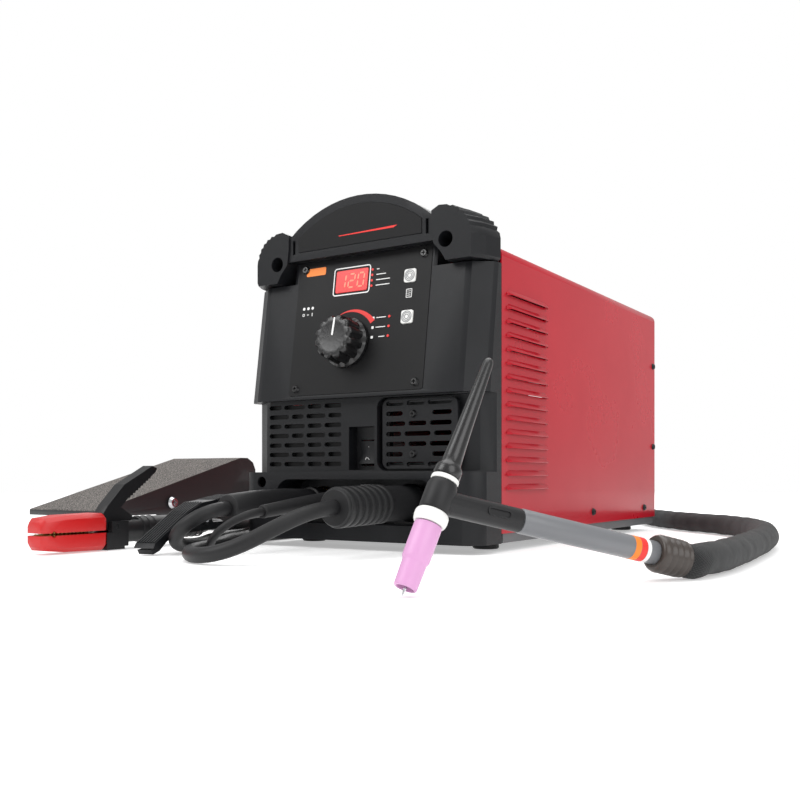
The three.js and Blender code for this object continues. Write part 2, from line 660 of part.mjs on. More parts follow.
function browHandle() {
  const back = BROW_Y + BROW_DEPTH;
  const spread = (SIDE - 95) / (125.5 - 95);
  let brow = solid(across(archShape(ARCH_HALF + 6, ARCH_BOTTOM, 0), BROW_Y + 2, back));
  for (const side of [-1, 1]) {
    const front = shoulderRing(side, BROW_Y, 1);
    const bend = shoulderRing(side, BROW_Y + 14, 1 + (spread - 1) * 0.6);
    const rear = shoulderRing(side, back, spread);
    brow = join(brow, loft([front, bend, rear]));
  }
  const pocket = solid(across(archShape(ARCH_HALF - 3, ARCH_BOTTOM + BROW_WALL, BROW_WALL), BROW_Y + 9, back + 1));
  const plateSeat = solid(across(archShape(ARCH_HALF - 7, ARCH_BOTTOM + 8, 8), BROW_Y, BROW_Y + 3.2));
  brow = cut(brow, pocket, plateSeat);
  for (const side of [-1, 1]) {
    brow = cut(brow, rod(side * 99, BROW_Y - 2, 286, side * 99, BROW_Y + 24, 286, SHOULDER_HOLE, 20));
    const slotX = side * (ARCH_HALF - 1.5);
    brow = cut(brow, slab(slotX - 1.6, slotX + 1.6, BROW_Y - 1, BROW_Y + 6, 294, 308));
    const hollow = slab(Math.min(side * 90, side * 118), Math.max(side * 90, side * 118),
      BROW_Y + 25, back + 1, 276, 306);
    brow = cut(brow, hollow);
  }
  return brow;
}

place('brow_handle', browHandle(), 'black_moulding');
place('name_plate', across(archShape(ARCH_HALF - 7 - GAP, ARCH_BOTTOM + 8 + GAP, 8 + GAP),
  BROW_Y + 1.4, BROW_Y + 3.2 - GAP), 'panel_film');

// ---------------------------------------------------------------- control panel

function controlPanel() {
  const plate = roundedRect(PANEL_WIDTH, PANEL_HEIGHT, 2.5, 0, PANEL_HEIGHT / 2);
  const y1 = PANEL_THICK - PANEL_PROUD;
  let panel = solid(across(plate, -PANEL_PROUD, y1, 3));
  const hole = (width, height, x, z, radius) => solid(
    across(roundedRect(width + GAP * 2, height + GAP * 2, radius, x, z), -5, 5, 3),
  );
  panel = cut(panel, hole(WINDOW_WIDTH, WINDOW_HEIGHT, WINDOW_X, WINDOW_UP, 2));
  for (const up of [PAGE_BUTTON_UP, MODE_BUTTON_UP]) {
    panel = cut(panel, hole(BUTTON_SIZE, BUTTON_SIZE, BUTTON_X, up, 2.4));
  }
  return cut(panel, rod(KNOB_X, -5, KNOB_UP, KNOB_X, 5, KNOB_UP, 5 + GAP, 16));
}

function displayWindow() {
  const shape = roundedRect(WINDOW_WIDTH, WINDOW_HEIGHT, 1.8, WINDOW_X, WINDOW_UP);
  return across(shape, -PANEL_PROUD - 0.2, PANEL_THICK - PANEL_PROUD, 3);
}

function outputKnob() {
  const skirt = -PANEL_PROUD - 0.6;
  const body = turnedForward([[0, 0], [KNOB_RADIUS, 0], [KNOB_RADIUS, 4], [KNOB_RADIUS - 2.4, 6],
    [KNOB_RADIUS - 3.4, KNOB_HEIGHT - 2], [KNOB_RADIUS - 5, KNOB_HEIGHT], [0, KNOB_HEIGHT]], KNOB_X, skirt, KNOB_UP, 36);
  let knob = solid(body);
  for (let i = 0; i < KNOB_SCALLOPS; i += 1) {
    const angle = i * 2 * Math.PI / KNOB_SCALLOPS;
    const reach = KNOB_RADIUS + 1.6;
    const x = KNOB_X + reach * Math.cos(angle);
    const z = KNOB_UP + reach * Math.sin(angle);
    knob = cut(knob, rod(x, skirt - 6, z, x, skirt - KNOB_HEIGHT - 1, z, 4.6, 10));
  }
  return join(knob, rod(KNOB_X, skirt - 1, KNOB_UP, KNOB_X, 12, KNOB_UP, 4, 16));
}

function pushButton(up) {
  const shape = roundedRect(BUTTON_SIZE, BUTTON_SIZE, 2.2, BUTTON_X, up);
  return across(shape, -PANEL_PROUD - BUTTON_TRAVEL - 0.4, PANEL_THICK, 3);
}

function controlBoard() {
  const board = slab(-PANEL_WIDTH / 2 + 16, PANEL_WIDTH / 2 - 16, 14, 15.6, 16, PANEL_HEIGHT - 16);
  const shaftHole = rod(KNOB_X, 10, KNOB_UP, KNOB_X, 30, KNOB_UP, 4.8, 16);
  const encoder = slab(KNOB_X - 8, KNOB_X + 8, 15.5, 24, KNOB_UP - 8, KNOB_UP + 8);
  const digits = slab(WINDOW_X - 17, WINDOW_X + 17, 6, 14.1, WINDOW_UP - 9, WINDOW_UP + 9);
  return join(cut(board, shaftHole), cut(encoder, shaftHole), digits);
}

place('control_panel', controlPanel(), 'panel_film', panelFrame);
place('display_window', displayWindow(), 'red_lens', panelFrame);
place('output_knob', outputKnob(), 'knob_plastic', panelFrame);
place('page_button', pushButton(PAGE_BUTTON_UP), 'white_plastic', panelFrame);
place('mode_button', pushButton(MODE_BUTTON_UP), 'white_plastic', panelFrame);
place('control_board', controlBoard(), 'green_board', panelFrame);

// ---------------------------------------------------------------- grille insert and power switch

function ventInsert() {
  const z = (FASCIA_BOTTOM + GRILLE_BOTTOM) / 2;
  const plate = roundedRect(VENT_WIDTH, VENT_HEIGHT, 7, VENT_LEFT + 3 + VENT_WIDTH / 2, z);
  const sheet = solid(across(plate, GRILLE_Y + 2, GRILLE_Y + 2 + VENT_THICK, 5));
  const rails = [-1, 1].map((side) => slab(VENT_LEFT + 8, VENT_LEFT + VENT_WIDTH - 4, GRILLE_Y + 2 + VENT_THICK - 0.5,
    GRILLE_Y + 10 - GAP, z + side * (VENT_HEIGHT / 2 - 2) - 1.5, z + side * (VENT_HEIGHT / 2 - 2) + 1.5));
  const tools = slots(VENT_LEFT + 7, VENT_LEFT + VENT_WIDTH - 3, z, GRILLE_Y, GRILLE_Y + 8, RIGHT_GRILLE);
  return join(cut(sheet, ...tools), ...rails);
}

const ROCKER_Y = GRILLE_Y + 14;

function powerRocker() {
  const [h, z] = [ROCKER_HEIGHT / 2, SWITCH_Z - 4];
  const shape = outline([[ROCKER_Y + 9, z - 7], [ROCKER_Y + 9, z + 7], [ROCKER_Y + 1, z + h - 0.8],
    [ROCKER_Y - 2.6, z + h - 1.2], [ROCKER_Y - 1.4, z], [ROCKER_Y - 5.6, z - h + 1.6], [ROCKER_Y + 1, z - h + 0.8]]);
  const half = ROCKER_WIDTH / 2 - GAP;
  return sideways(shape, SWITCH_X - half, SWITCH_X + half);
}

place('vent_insert', ventInsert(), 'black_moulding');
place('power_rocker', powerRocker(), 'black_moulding');

// ---------------------------------------------------------------- sockets and plugs

function weldSocket(x) {
  const y = RECESS_BACK - GAP;
  const flange = turnedForward([[0, 0], [SOCKET_RADIUS, 0], [SOCKET_RADIUS, 3], [SOCKET_RADIUS - 2, 5],
    [7.5, 5], [7.5, 1.5], [0, 1.5]], x, y, SOCKET_Z, 24);
  return join(solid(flange), rod(x, y - 1, SOCKET_Z, x, TRAY_FRONT - GAP, SOCKET_Z, SOCKET_RADIUS - 3, 20));
}

function remoteSocket() {
  const y = RECESS_BACK - GAP;
  const [x, z] = [REMOTE_SOCKET_X, REMOTE_SOCKET_Z];
  const flange = slab(x - 12, x + 12, y - 2, y, z - 12, z + 12);
  return join(flange, rod(x, y - 8, z, x, y + 14, z, 8, 20));
}

place('work_socket', weldSocket(WORK_SOCKET_X), 'brass');
place('electrode_socket', weldSocket(ELECTRODE_SOCKET_X), 'brass');
place('remote_socket', remoteSocket(), 'bright_steel');

// rings of a round boot along a list of stations [x, y, z, radius]
function boot(stations, segments = 16) {
  const rings = stations.map(([x, y, z, radius]) => {
    const ring = [];
    for (let i = 0; i < segments; i += 1) {
      const angle = -i * 2 * Math.PI / segments;
      ring.push([x + radius * Math.cos(angle), y, z + radius * Math.sin(angle)]);
    }
    return ring;
  });
  return loft(rings.reverse());
}

const WORK_BOOT_END = new THREE.Vector3(WORK_SOCKET_X, -358, 41);
const ELECTRODE_BOOT_END = new THREE.Vector3(ELECTRODE_SOCKET_X, -350, 43.5);
const REMOTE_SLEEVE_END = new THREE.Vector3(-10, -366, 39.5);

function workPlug() {
  const y = RECESS_BACK - GAP * 2 - 5;
  const r = WORK_BOOT_RADIUS;
  const end = WORK_BOOT_END;
  const x = WORK_SOCKET_X;
  return boot([[x, y, SOCKET_Z, r], [x, y - 12, SOCKET_Z, r], [x, y - 13, SOCKET_Z, r + 1.6],
    [x, y - 19, SOCKET_Z, r + 1.6], [x, y - 20, SOCKET_Z, r - 0.6], [x, y - 60, SOCKET_Z + 0.6, r - 0.4],
    [x, y - 100, SOCKET_Z - 0.8, r - 0.2], [end.x, end.y, end.z, r]]);
}

function electrodePlug() {
  const y = RECESS_BACK - GAP * 2 - 5;
  const r = ELECTRODE_BOOT_RADIUS;
  const x = ELECTRODE_SOCKET_X;
  const end = ELECTRODE_BOOT_END;
  const stations = [[x, y, SOCKET_Z, r - 3], [x, y - 5, SOCKET_Z, r - 3], [x, y - 6, SOCKET_Z, r + 0.6],
    [x, y - 13, SOCKET_Z, r + 0.6], [x, y - 15, SOCKET_Z, r - 1], [x, y - 60, SOCKET_Z, r - 1.4]];
  const ribs = 7;
  const pitch = (y - 62 - end.y) / ribs;
  for (let i = 0; i < ribs; i += 1) {
    const at = y - 62 - i * pitch;
    const z = SOCKET_Z + (end.z - SOCKET_Z) * i / ribs;
    stations.push([x, at, z, r], [x, at - pitch * 0.7, z, r], [x, at - pitch * 0.72, z, r - 1.4]);
  }
  stations.push([x, end.y, end.z, r - 1.4]);
  return boot(stations);
}

function remotePlug() {
  const y = RECESS_BACK - GAP * 2 - 9;
  const [x, z] = [REMOTE_SOCKET_X, REMOTE_SOCKET_Z];
  const end = REMOTE_SLEEVE_END;
  return boot([[x, y, z, 7], [x, y - 28, z, 7], [x, y - 28.5, z, REMOTE_RING_RADIUS - 0.6],
    [x - 0.6, y - 40, z, REMOTE_RING_RADIUS - 0.6], [x - 1, y - 42, z - 0.4, 7.2],
    [x - 2.4, y - 66, z - 2, 7], [x - 5, y - 104, z - 5.6, 6.4], [end.x, end.y, end.z, 5.8]]);
}

function remotePlugRing() {
  const y = RECESS_BACK - GAP * 2 - 9.5;
  const r = REMOTE_RING_RADIUS;
  return turnedForward([[7 + GAP, 0], [r, 0], [r, 5], [r - 1, 6], [r - 1, 8], [r, 9], [r, 20], [r - 1, 22], [r - 1, 26],
    [7 + GAP, 26], [7 + GAP, 0]], REMOTE_SOCKET_X, y, REMOTE_SOCKET_Z, 24);
}

place('work_plug', workPlug(), 'black_rubber');
place('electrode_plug', electrodePlug(), 'black_rubber');
place('remote_plug', remotePlug(), 'black_rubber');
place('remote_plug_ring', remotePlugRing(), 'bright_steel');

// ---------------------------------------------------------------- inside the case

function fanFrame() {
  const half = FAN_SIZE / 2;
  const y1 = REAR_Y - SHEET * 2 - GAP;
  const y0 = y1 - FAN_DEPTH;
  const block = slab(-half, half, y0, y1, FAN_Z - half, FAN_Z + half);
  const tunnel = rod(0, y0 - 1, FAN_Z, 0, y1 + 1, FAN_Z, FAN_BORE, 36);
  const struts = [slab(-FAN_BORE - 2, FAN_BORE + 2, y1 - 4, y1, FAN_Z - 3, FAN_Z + 3),
    slab(-3, 3, y1 - 4, y1, FAN_Z - FAN_BORE - 2, FAN_Z + FAN_BORE + 2)];
  const motor = rod(0, y1 - 5, FAN_Z, 0, y1, FAN_Z, HUB_RADIUS, 24);
  return join(cut(block, tunnel), ...struts, motor);
}

function fanRotor() {
  const y1 = REAR_Y - SHEET * 2 - GAP - 5.8;
  const y0 = y1 - 26;
  let rotor = rod(0, y0, FAN_Z, 0, y1, FAN_Z, HUB_RADIUS, 24);
  for (let i = 0; i < BLADES; i += 1) {
    const blade = new THREE.BoxGeometry(ROTOR_RADIUS - HUB_RADIUS + 2, 26, 2);
    blade.rotateX(0.75);
    blade.translate((ROTOR_RADIUS + HUB_RADIUS) / 2 - 1, 0, 0);
    blade.rotateY(i * 2 * Math.PI / BLADES);
    blade.translate(0, (y0 + y1) / 2, FAN_Z);
    rotor = join(rotor, solid(blade));
  }
  return rotor;
}

function heatSink() {
  const [x0, x1, y0, y1, z0] = [30, 122, -120, 110, FOOT_HEIGHT + SHEET + GAP];
  let sink = slab(x0, x1, y0, y1, z0, z0 + 8);
  for (let i = 0; i < 12; i += 1) {
    const x = x0 + i * (x1 - x0 - 3) / 11;
    sink = join(sink, slab(x, x + 3, y0, y1, z0 + 7, z0 + 62));
  }
  return sink;
}

function powerBoard() {
  const z = FOOT_HEIGHT + SHEET + GAP + 62 + GAP;
  const board = slab(20, 128, -150, 140, z, z + 2);
  const caps = [[50, -90], [95, -90], [50, -40], [95, -40]].map(([x, y]) => rod(x, y, z + 1, x, y, z + 52, 17, 20));
  const modules = [20, 60, 100].map((y) => slab(45, 105, y, y + 28, z + 1, z + 18));
  return join(board, ...caps, ...modules);
}

place('fan_frame', fanFrame(), 'black_moulding');
place('fan_rotor', fanRotor(), 'black_moulding');
place('heat_sink', heatSink(), 'aluminium');
place('power_board', powerBoard(), 'green_board');

// ---------------------------------------------------------------- torch

// the torch's own frame: +Z runs from the nozzle to the back cap, the handle lies in its XZ plane
const torch = group();
const torchUp = TORCH_HEAD.clone().sub(TORCH_TIP).normalize();
const torchReach = TORCH_TAIL.clone().sub(TORCH_HEAD);
const torchSide = new THREE.Vector3().crossVectors(torchUp, torchReach).normalize();
const torchAcross = new THREE.Vector3().crossVectors(torchSide, torchUp).normalize();
const torchMatrix = new THREE.Matrix4().makeBasis(torchAcross, torchSide, torchUp);
torch.quaternion.setFromRotationMatrix(torchMatrix);
torch.position.copy(TORCH_HEAD);
const handleAim = new THREE.Vector3(torchReach.dot(torchAcross), 0, torchReach.dot(torchUp)).normalize();
const alongHandle = (distance) => handleAim.clone().multiplyScalar(distance);
const TIP_DEPTH = TORCH_HEAD.distanceTo(TORCH_TIP);
const TAIL_DISTANCE = torchReach.length() + COLLAR_LENGTH / 2;
const NOZZLE_TOP = -16;
const NOZZLE_BOTTOM = -(TIP_DEPTH - 5);

function torchHead() {
  const body = turned([[0, -7], [9, -7], [9.6, -5.5], [9.6, 9], [8.6, 12.5], [0, 12.5]], 24);
  const bore = rod(0, 0, -8, 0, 0, 17, 2.6, 12);
  const neck = solid(bar(alongHandle(4), alongHandle(58), 7.6, 20));
  return cut(join(solid(body), neck), bore);
}

function backCap() {
  return turned([[0, 16 + GAP], [7, 16 + GAP], [8.6, 17.5], [8.6, 22], [6.4, 26], [5.6, 40], [3.4, 100],
    [2.6, 103], [0, 103.5]], 24);
}

function capRing() {
  const low = 12.5 + GAP;
  return turned([[3.4, low], [8.2, low], [8.8, low + 0.8], [8.8, 15.2], [8, 16], [3.4, 16], [3.4, low]], 24);
}

function torchGasket() {
  const ring = turned([[3.4, -7 - GAP], [9.2, -7 - GAP], [10.4, -9], [10.6, -12], [9.4, -16 + GAP], [3.4, -16 + GAP],
    [3.4, -7 - GAP]], 24);
  return ring;
}

function torchNozzle() {
  const [top, low] = [NOZZLE_TOP, NOZZLE_BOTTOM];
  return turned([[5, top], [8.4, top], [8.6, top - 2], [8.6, top - 22], [7.6, top - 24], [7.2, low + 0.6],
    [6.8, low], [5.4, low], [5.4, low + 14], [5, low + 17], [5, top]], 28);
}

function tungsten() {
  return turned([[0, -TIP_DEPTH], [1.2, -TIP_DEPTH + 5], [1.2, 12], [0, 12]], 10);
}

function torchHandle() {
  const start = alongHandle(58 + GAP);
  const end = alongHandle(TAIL_DISTANCE - COLLAR_LENGTH + 8);
  return bar(start, end, TORCH_HANDLE_RADIUS, 24);
}

function torchCollar() {
  const length = COLLAR_LENGTH;
  const r = COLLAR_RADIUS;
  const seat = TORCH_HANDLE_RADIUS + GAP;
  const collar = turned([[0, 8 + GAP], [seat, 8 + GAP], [seat, 0], [r - 2, 0], [r - 0.6, 2], [r, 4], [r - 1, 7], [r, 10],
    [r - 1, 13], [r, 16], [r - 0.4, length - 1], [r - 1.2, length], [0, length]], 24);
  const aim = new THREE.Quaternion().setFromUnitVectors(new THREE.Vector3(0, 0, 1), handleAim);
  collar.applyQuaternion(aim);
  const at = alongHandle(TAIL_DISTANCE - length);
  collar.translate(at.x, at.y, at.z);
  return collar;
}

place('torch_head', torchHead(), 'black_rubber', torch);
place('torch_back_cap', backCap(), 'knob_plastic', torch);
place('torch_cap_ring', capRing(), 'white_plastic', torch);
place('torch_gasket', torchGasket(), 'white_plastic', torch);
place('torch_nozzle', torchNozzle(), 'pink_ceramic', torch);
place('tungsten_electrode', tungsten(), 'bright_steel', torch);
place('torch_handle', torchHandle(), 'grey_plastic', torch);
place('torch_collar', torchCollar(), 'brown_clamp', torch);

// ---------------------------------------------------------------- electrode holder

// its frame: Y = 0 is the jaws' front, Z = 0 is the handle's axis
const holder = group();
holder.position.copy(HOLDER);
const MOUTH = 1.2; // half the gap between the two jaw halves
const JAW_UP = 18;
const LEVER_PIN = new THREE.Vector3(0, 82, 4);

function jawHalf(side) {
  const w = JAW_WIDTH / 2;
  const ring = (y, half, low, high) => {
    const points = [[half, low], [half, high - 4], [half - 4, high], [-half + 4, high], [-half, high - 4], [-half, low]];
    return points.map(([x, z]) => [x, y, side * z]);
  };
  const rings = [ring(0, w - 5, MOUTH, 11), ring(4, w - 1.5, MOUTH, 14.5), ring(24, w, MOUTH, 16.6),
    ring(JAW_LENGTH - 4, w, MOUTH, 17.4), ring(JAW_LENGTH, w - 2, MOUTH, 16)];
  if (side < 0) rings.forEach((points) => points.reverse());
  const body = loft(rings.map((points) => points.slice().reverse()));
  const groove = rod(-w - 2, 12, side * 0.6, w + 2, 12, side * 0.6, 2.4, 10);
  return cut(body, groove);
}

function holderHandle() {
  const start = JAW_LENGTH + GAP;
  const r = HANDLE_RADIUS;
  const block = slab(-JAW_WIDTH / 2 + 1, JAW_WIDTH / 2 - 1, start, start + 26, -15, -MOUTH - 0.2);
  const foot = slab(-10, 10, start + 2, start + 24, -HOLDER.z, -14);
  const reach = HOLDER_LENGTH - start - 20;
  const grip = solid(turnedForward([[0, 0], [6.5, 0], [8, 3], [r - 1, 22], [r, 60], [r, reach], [0, reach]],
    0, HOLDER_LENGTH, 0, 24));
  const cheeks = slab(-JAW_WIDTH / 2 + 1, JAW_WIDTH / 2 - 1, start + 6, start + 26, -15, 9);
  const slot = slab(-8, 8, start - 1, start + 44, -9, r + 4);
  const body = cut(join(block, foot, grip, cheeks), slot);
  return cut(body, rod(-20, LEVER_PIN.y, LEVER_PIN.z, 20, LEVER_PIN.y, LEVER_PIN.z, 2 + GAP, 12));
}

function holderLever() {
  const start = JAW_LENGTH + GAP;
  const low = MOUTH - 0.3;
  const shape = outline([[start, low], [start + 34, low + 1.4], [start + 36, HANDLE_RADIUS + 1],
    [start + 22, 22], [start + 30, 30], [start + 66, 56], [start + 68, 60], [start + 62, 62.5],
    [start + 26, 44], [start + 6, 24], [start, 16]]);
  const arm = solid(sideways(shape, -7, 7));
  return join(arm, rod(-12.8, LEVER_PIN.y, LEVER_PIN.z, 12.8, LEVER_PIN.y, LEVER_PIN.z, 2, 12));
}

place('holder_handle', holderHandle(), 'black_rubber', holder);
place('holder_lower_jaw', jawHalf(-1), 'red_insulator', holder);
place('holder_upper_jaw', jawHalf(1), 'red_insulator', holder);
place('holder_lever', holderLever(), 'black_rubber', holder);

// ---------------------------------------------------------------- work clamp

// its frame: Y runs from the jaws' tip to the handles' ends, Z = 0 is the ground
const clamp = group();
clamp.position.copy(CLAMP);
clamp.rotation.z = CLAMP_TURN;
const CLAMP_PIN = new THREE.Vector3(0, 92, 30);
const CLAMP_CHEEK = 2.4;

function clampUpper() {
  const shape = outline([[0, 6.6], [3, 11], [30, 23.5], [60, 37], [84, 45], [104, 46.5], [148, 51], [154, 48],
    [151, 44.5], [108, 38], [98, 30], [86, 30], [78, 34], [60, 30.6], [30, 18.8], [6, 6.2]]);
  const half = CLAMP_WIDTH / 2;
  const arm = solid(sideways(shape, -half, half));
  const channel = outline([[-2, 0], [30, 12], [60, 26], [76, 30], [72, 36], [60, 33.4], [30, 20.4], [8, 10]]);
  const hollow = solid(sideways(channel, -half + CLAMP_CHEEK, half - CLAMP_CHEEK));
  const cheek = outline([[80, 43], [84, 26], [92, 23], [100, 26], [104, 43]]);
  const cheeks = [[-half, -half + CLAMP_CHEEK], [half - CLAMP_CHEEK, half]].map(
    ([x0, x1]) => solid(sideways(cheek, x0, x1)),
  );
  const pinHole = rod(-half - 1, CLAMP_PIN.y, CLAMP_PIN.z, half + 1, CLAMP_PIN.y, CLAMP_PIN.z, 2.4 + GAP, 12);
  const relief = slab(-half + CLAMP_CHEEK, half - CLAMP_CHEEK, 79, 108, 10, 38.5);
  return cut(join(cut(arm, hollow, relief), ...cheeks), pinHole);
}

function clampLower() {
  const shape = outline([[1, 5.2], [4, 1], [14, 3.5], [26, 11], [45, 16.5], [108, 18], [150, 17], [155, 20],
    [152, 24.6], [108, 25], [101, 35.6], [86, 35.6], [76, 32], [60, 28], [30, 17.6], [8, 6]]);
  const half = CLAMP_WIDTH / 2 - CLAMP_CHEEK - GAP;
  const arm = solid(sideways(shape, -half, half));
  const ends = CLAMP_WIDTH / 2 + 1.5;
  return join(arm, rod(-ends, CLAMP_PIN.y, CLAMP_PIN.z, ends, CLAMP_PIN.y, CLAMP_PIN.z, 2.4, 12));
}

place('clamp_upper_arm', clampUpper(), 'black_moulding', clamp);
place('clamp_lower_arm', clampLower(), 'black_moulding', clamp);

// ---------------------------------------------------------------- foot pedal

// its frame: Y = 0 is the low end, X = 0 its middle plane, Z = 0 the ground
const pedal = group();
pedal.position.copy(PEDAL);

function pedalProfile(inset, skirt) {
  const high = PEDAL_HIGH - inset;
  const end = PEDAL_LENGTH - inset;
  const rise = (PEDAL_HIGH - PEDAL_LOW) / (PEDAL_LENGTH - 30);
  const at = (y) => Math.min(PEDAL_LOW - inset * 1.1 + y * rise, high);
  return outline([[inset, skirt], [end, skirt], [end, high - 16], [end - 5, high - 6], [end - 16, high], [end - 30, high],
    [inset + 2, at(2)], [inset, at(-2)]]);
}

function pedalCover() {
  const half = PEDAL_WIDTH / 2;
  const shell = solid(sideways(pedalProfile(0, PEDAL_SKIRT), -half, half));
  const hollow = solid(sideways(pedalProfile(PEDAL_WALL, PEDAL_SKIRT - 1), -half + PEDAL_WALL, half - PEDAL_WALL));
  const pinHole = rod(-half - 1, PEDAL_PIN_Y, PEDAL_PIN_Z, half + 1, PEDAL_PIN_Y, PEDAL_PIN_Z, 4 + GAP, 16);
  const leadNotch = slab(-RELIEF_RADIUS - 2, RELIEF_RADIUS + 2, PEDAL_LENGTH - PEDAL_WALL - 1, PEDAL_LENGTH + 1,
    PEDAL_SKIRT - 1, PEDAL_SKIRT + 14);
  return cut(shell, hollow, pinHole, leadNotch);
}

function pedalBase() {
  const half = PEDAL_WIDTH / 2 - PEDAL_WALL - 2;
  const [y0, y1] = [12, PEDAL_LENGTH - 10];
  const plate = slab(-half, half, y0, y1, 0, 14);
  const ears = [-1, 1].map((side) => {
    const ends = [side * (half - 6), side * half].sort((a, b) => a - b);
    const ear = outline([[PEDAL_PIN_Y - 18, 13], [PEDAL_PIN_Y + 18, 13], [PEDAL_PIN_Y + 8, PEDAL_PIN_Z + 9],
      [PEDAL_PIN_Y - 8, PEDAL_PIN_Z + 9]]);
    return solid(sideways(ear, ends[0], ends[1]));
  });
  const relief = boot([[0, PEDAL_LENGTH + RELIEF_LENGTH, 8, THIN_LEAD / 2 + 0.6], [0, PEDAL_LENGTH + 4, 8, RELIEF_RADIUS],
    [0, y1 - 1, 8, RELIEF_RADIUS]]);
  const pin = rod(-PEDAL_WIDTH / 2 - 2.5, PEDAL_PIN_Y, PEDAL_PIN_Z, PEDAL_WIDTH / 2 + 2.5, PEDAL_PIN_Y, PEDAL_PIN_Z, 4, 16);
  return join(plate, ...ears, relief, pin);
}

place('pedal_cover', pedalCover(), 'pedal_paint', pedal);
place('pedal_base', pedalBase(), 'pedal_paint', pedal);

// ---------------------------------------------------------------- free leads

// the torch's cover leaves the collar, loops behind the machine and ends in a cuff
const COVER_ROUTE = [[349, -318, 12.4], [352, -290, 12], [352, -250, 12], [350, -200, 12], [346, -140, 12],
  [341, -80, 12], [332, -20, 12], [317, 40, 12], [296, 95, 12], [270, 142, 12], [240, 178, 12], [207, 208, 12],
  [174, 241, 12], [146, 275, 12], [122, 307, 12], [104, 338, 12], [90, 368, 12], [73, 397, 12], [53, 422, 12],
  [32, 438.5, 12], [16, 445.5, 12], [7, 446.5, 12]];

// the torch's lead: from its plug to the left, round the front corner and along the case to its coil
const TORCH_LEAD_ROUTE = [[55, -358, 43.4], [54.5, -368, 42.6], [52, -383, 40], [46, -398, 34.5], [36, -413, 26],
  [23, -427, 16.5], [7, -436, 9.5], [-13, -438, 6.7], [-34, -428, 6.5], [-51, -410, 6.5], [-64, -388, 6.5],
  [-74, -366, 6.5], [-84, -346, 6.5], [-95, -327, 6.5], [-107, -309, 6.5], [-121, -290, 6.5], [-134, -270, 6.5],
  [-145, -246, 6.5], [-152, -215, 6.5], [-156.5, -175, 6.5], [-157.5, -120, 6.5], [-157.5, -40, 6.5],
  [-157.5, 60, 6.5], [-160, 140, 6.5], [-169, 215, 6.5], [-183, 285, 6.5], [-190, 325, 6.5], [-191.5, 352, 6.5]];

// the work lead: it drops over the torch's lead, passes under the clamp and runs back to its coil
const WORK_LEAD_ROUTE = [[-58, -361, 41], [-58, -367, 41], [-60.9, -381, 38.7], [-69, -391.2, 32.4], [-80, -395, 23.8],
  [-91, -391.2, 15.1], [-99.1, -381, 9], [-102, -367, 6.6], [-105, -351, 6.5], [-112.5, -335, 6.5],
  [-124, -317, 6.5], [-138, -298, 6.5], [-151, -276, 6.5], [-161, -250, 6.5], [-167.5, -215, 6.5],
  [-171.3, -175, 6.5], [-172, -120, 6.5], [-172, -40, 6.5], [-172, 60, 6.5], [-174, 130, 6.5], [-183, 180, 6.5],
  [-200, 220, 6.5], [-224, 251, 6.5], [-256, 270, 6.5], [-290, 275.5, 6.5]];

// from the work clamp's handle over the other leads and back to the same coil
const CLAMP_LEAD_ROUTE = [[-156, -232, 21], [-165, -212, 21], [-174, -190, 20.6], [-181, -165, 16.5],
  [-185, -140, 10], [-186.5, -110, 6.5], [-186.5, -40, 6.5], [-186.7, 40, 6.5], [-187, 100, 6.5], [-188, 135, 9],
  [-192, 175, 18], [-198, 210, 20.5], [-203, 245, 20.5], [-206, 280, 20.5], [-208, 315, 12], [-211, 350, 6.5],
  [-221, 383, 6.5], [-240, 407, 6.5], [-265, 421, 6.5], [-290, 424, 6.5]];

// the pedal's lead: along the case's foot, over the other leads to its coil, and on to the pedal
const PEDAL_LEAD_ROUTE = [[-10, -369, 39.5], [-10, -373, 39.5], [-12.9, -387.2, 37.1], [-21, -397.6, 30.5],
  [-32, -401.4, 21.5], [-43, -397.6, 12.5], [-51, -387.2, 5.9], [-54.5, -373, 3.8], [-59, -357, 3.6],
  [-66, -339, 3.6], [-76, -322, 3.6], [-88, -306, 3.6], [-101, -291, 3.6], [-115, -275, 3.6], [-128, -256, 3.6],
  [-138, -232, 3.6], [-143, -205, 3.6], [-145.5, -170, 3.6], [-146, -100, 3.6], [-146, -30, 3.6], [-146, 5, 5],
  [-148, 35, 12], [-153, 64, 18.5], [-166, 88, 20], [-186, 106, 20], [-209, 121, 19], [-231, 136, 12],
  [-252, 149, 5.6], [-278, 162, 3.6], [-306, 172, 3.6], [-338.5, 176.5, 3.6]];
const PEDAL_END_ROUTE = [[-408.5, 110, 3.6], [-410.5, 84, 4.2], [-412, 60, 6.8], [-412, 50, 8], [-412, 43, 8]];

// the electrode holder's lead: straight back, then behind the machine to its coil
const HOLDER_LEAD_ROUTE = [[-198, -228, 17.8], [-199, -210, 15], [-201, -185, 10], [-202, -155, 7], [-202, -110, 6.5],
  [-202, -40, 6.5], [-203, 60, 6.5], [-206, 150, 6.5], [-215, 200, 6.5], [-236, 232, 6.5], [-272, 246, 6.5],
  [-320, 248, 6.5], [-380, 246, 6.5], [-430, 255, 6.5], [-474, 264.5, 6.5]];

const TORCH_COIL = { x: -110, y: 352, middle: 75, wide: 26, high: 26 };
const WORK_COIL = { x: -290, y: 353, middle: 71, wide: 26, high: 26 };
const PEDAL_COIL = { x: -338.5, y: 110, middle: 52.5, wide: 35, high: 28 };
const HOLDER_COIL = { x: -474, y: 339, middle: 68, wide: 26, high: 26 };
const CUFF_LENGTH = 60;
const CUFF_Y = TORCH_COIL.y + TORCH_COIL.middle + LEAD * 1.5;
const HOLDER_PLUG_RADIUS = 13;

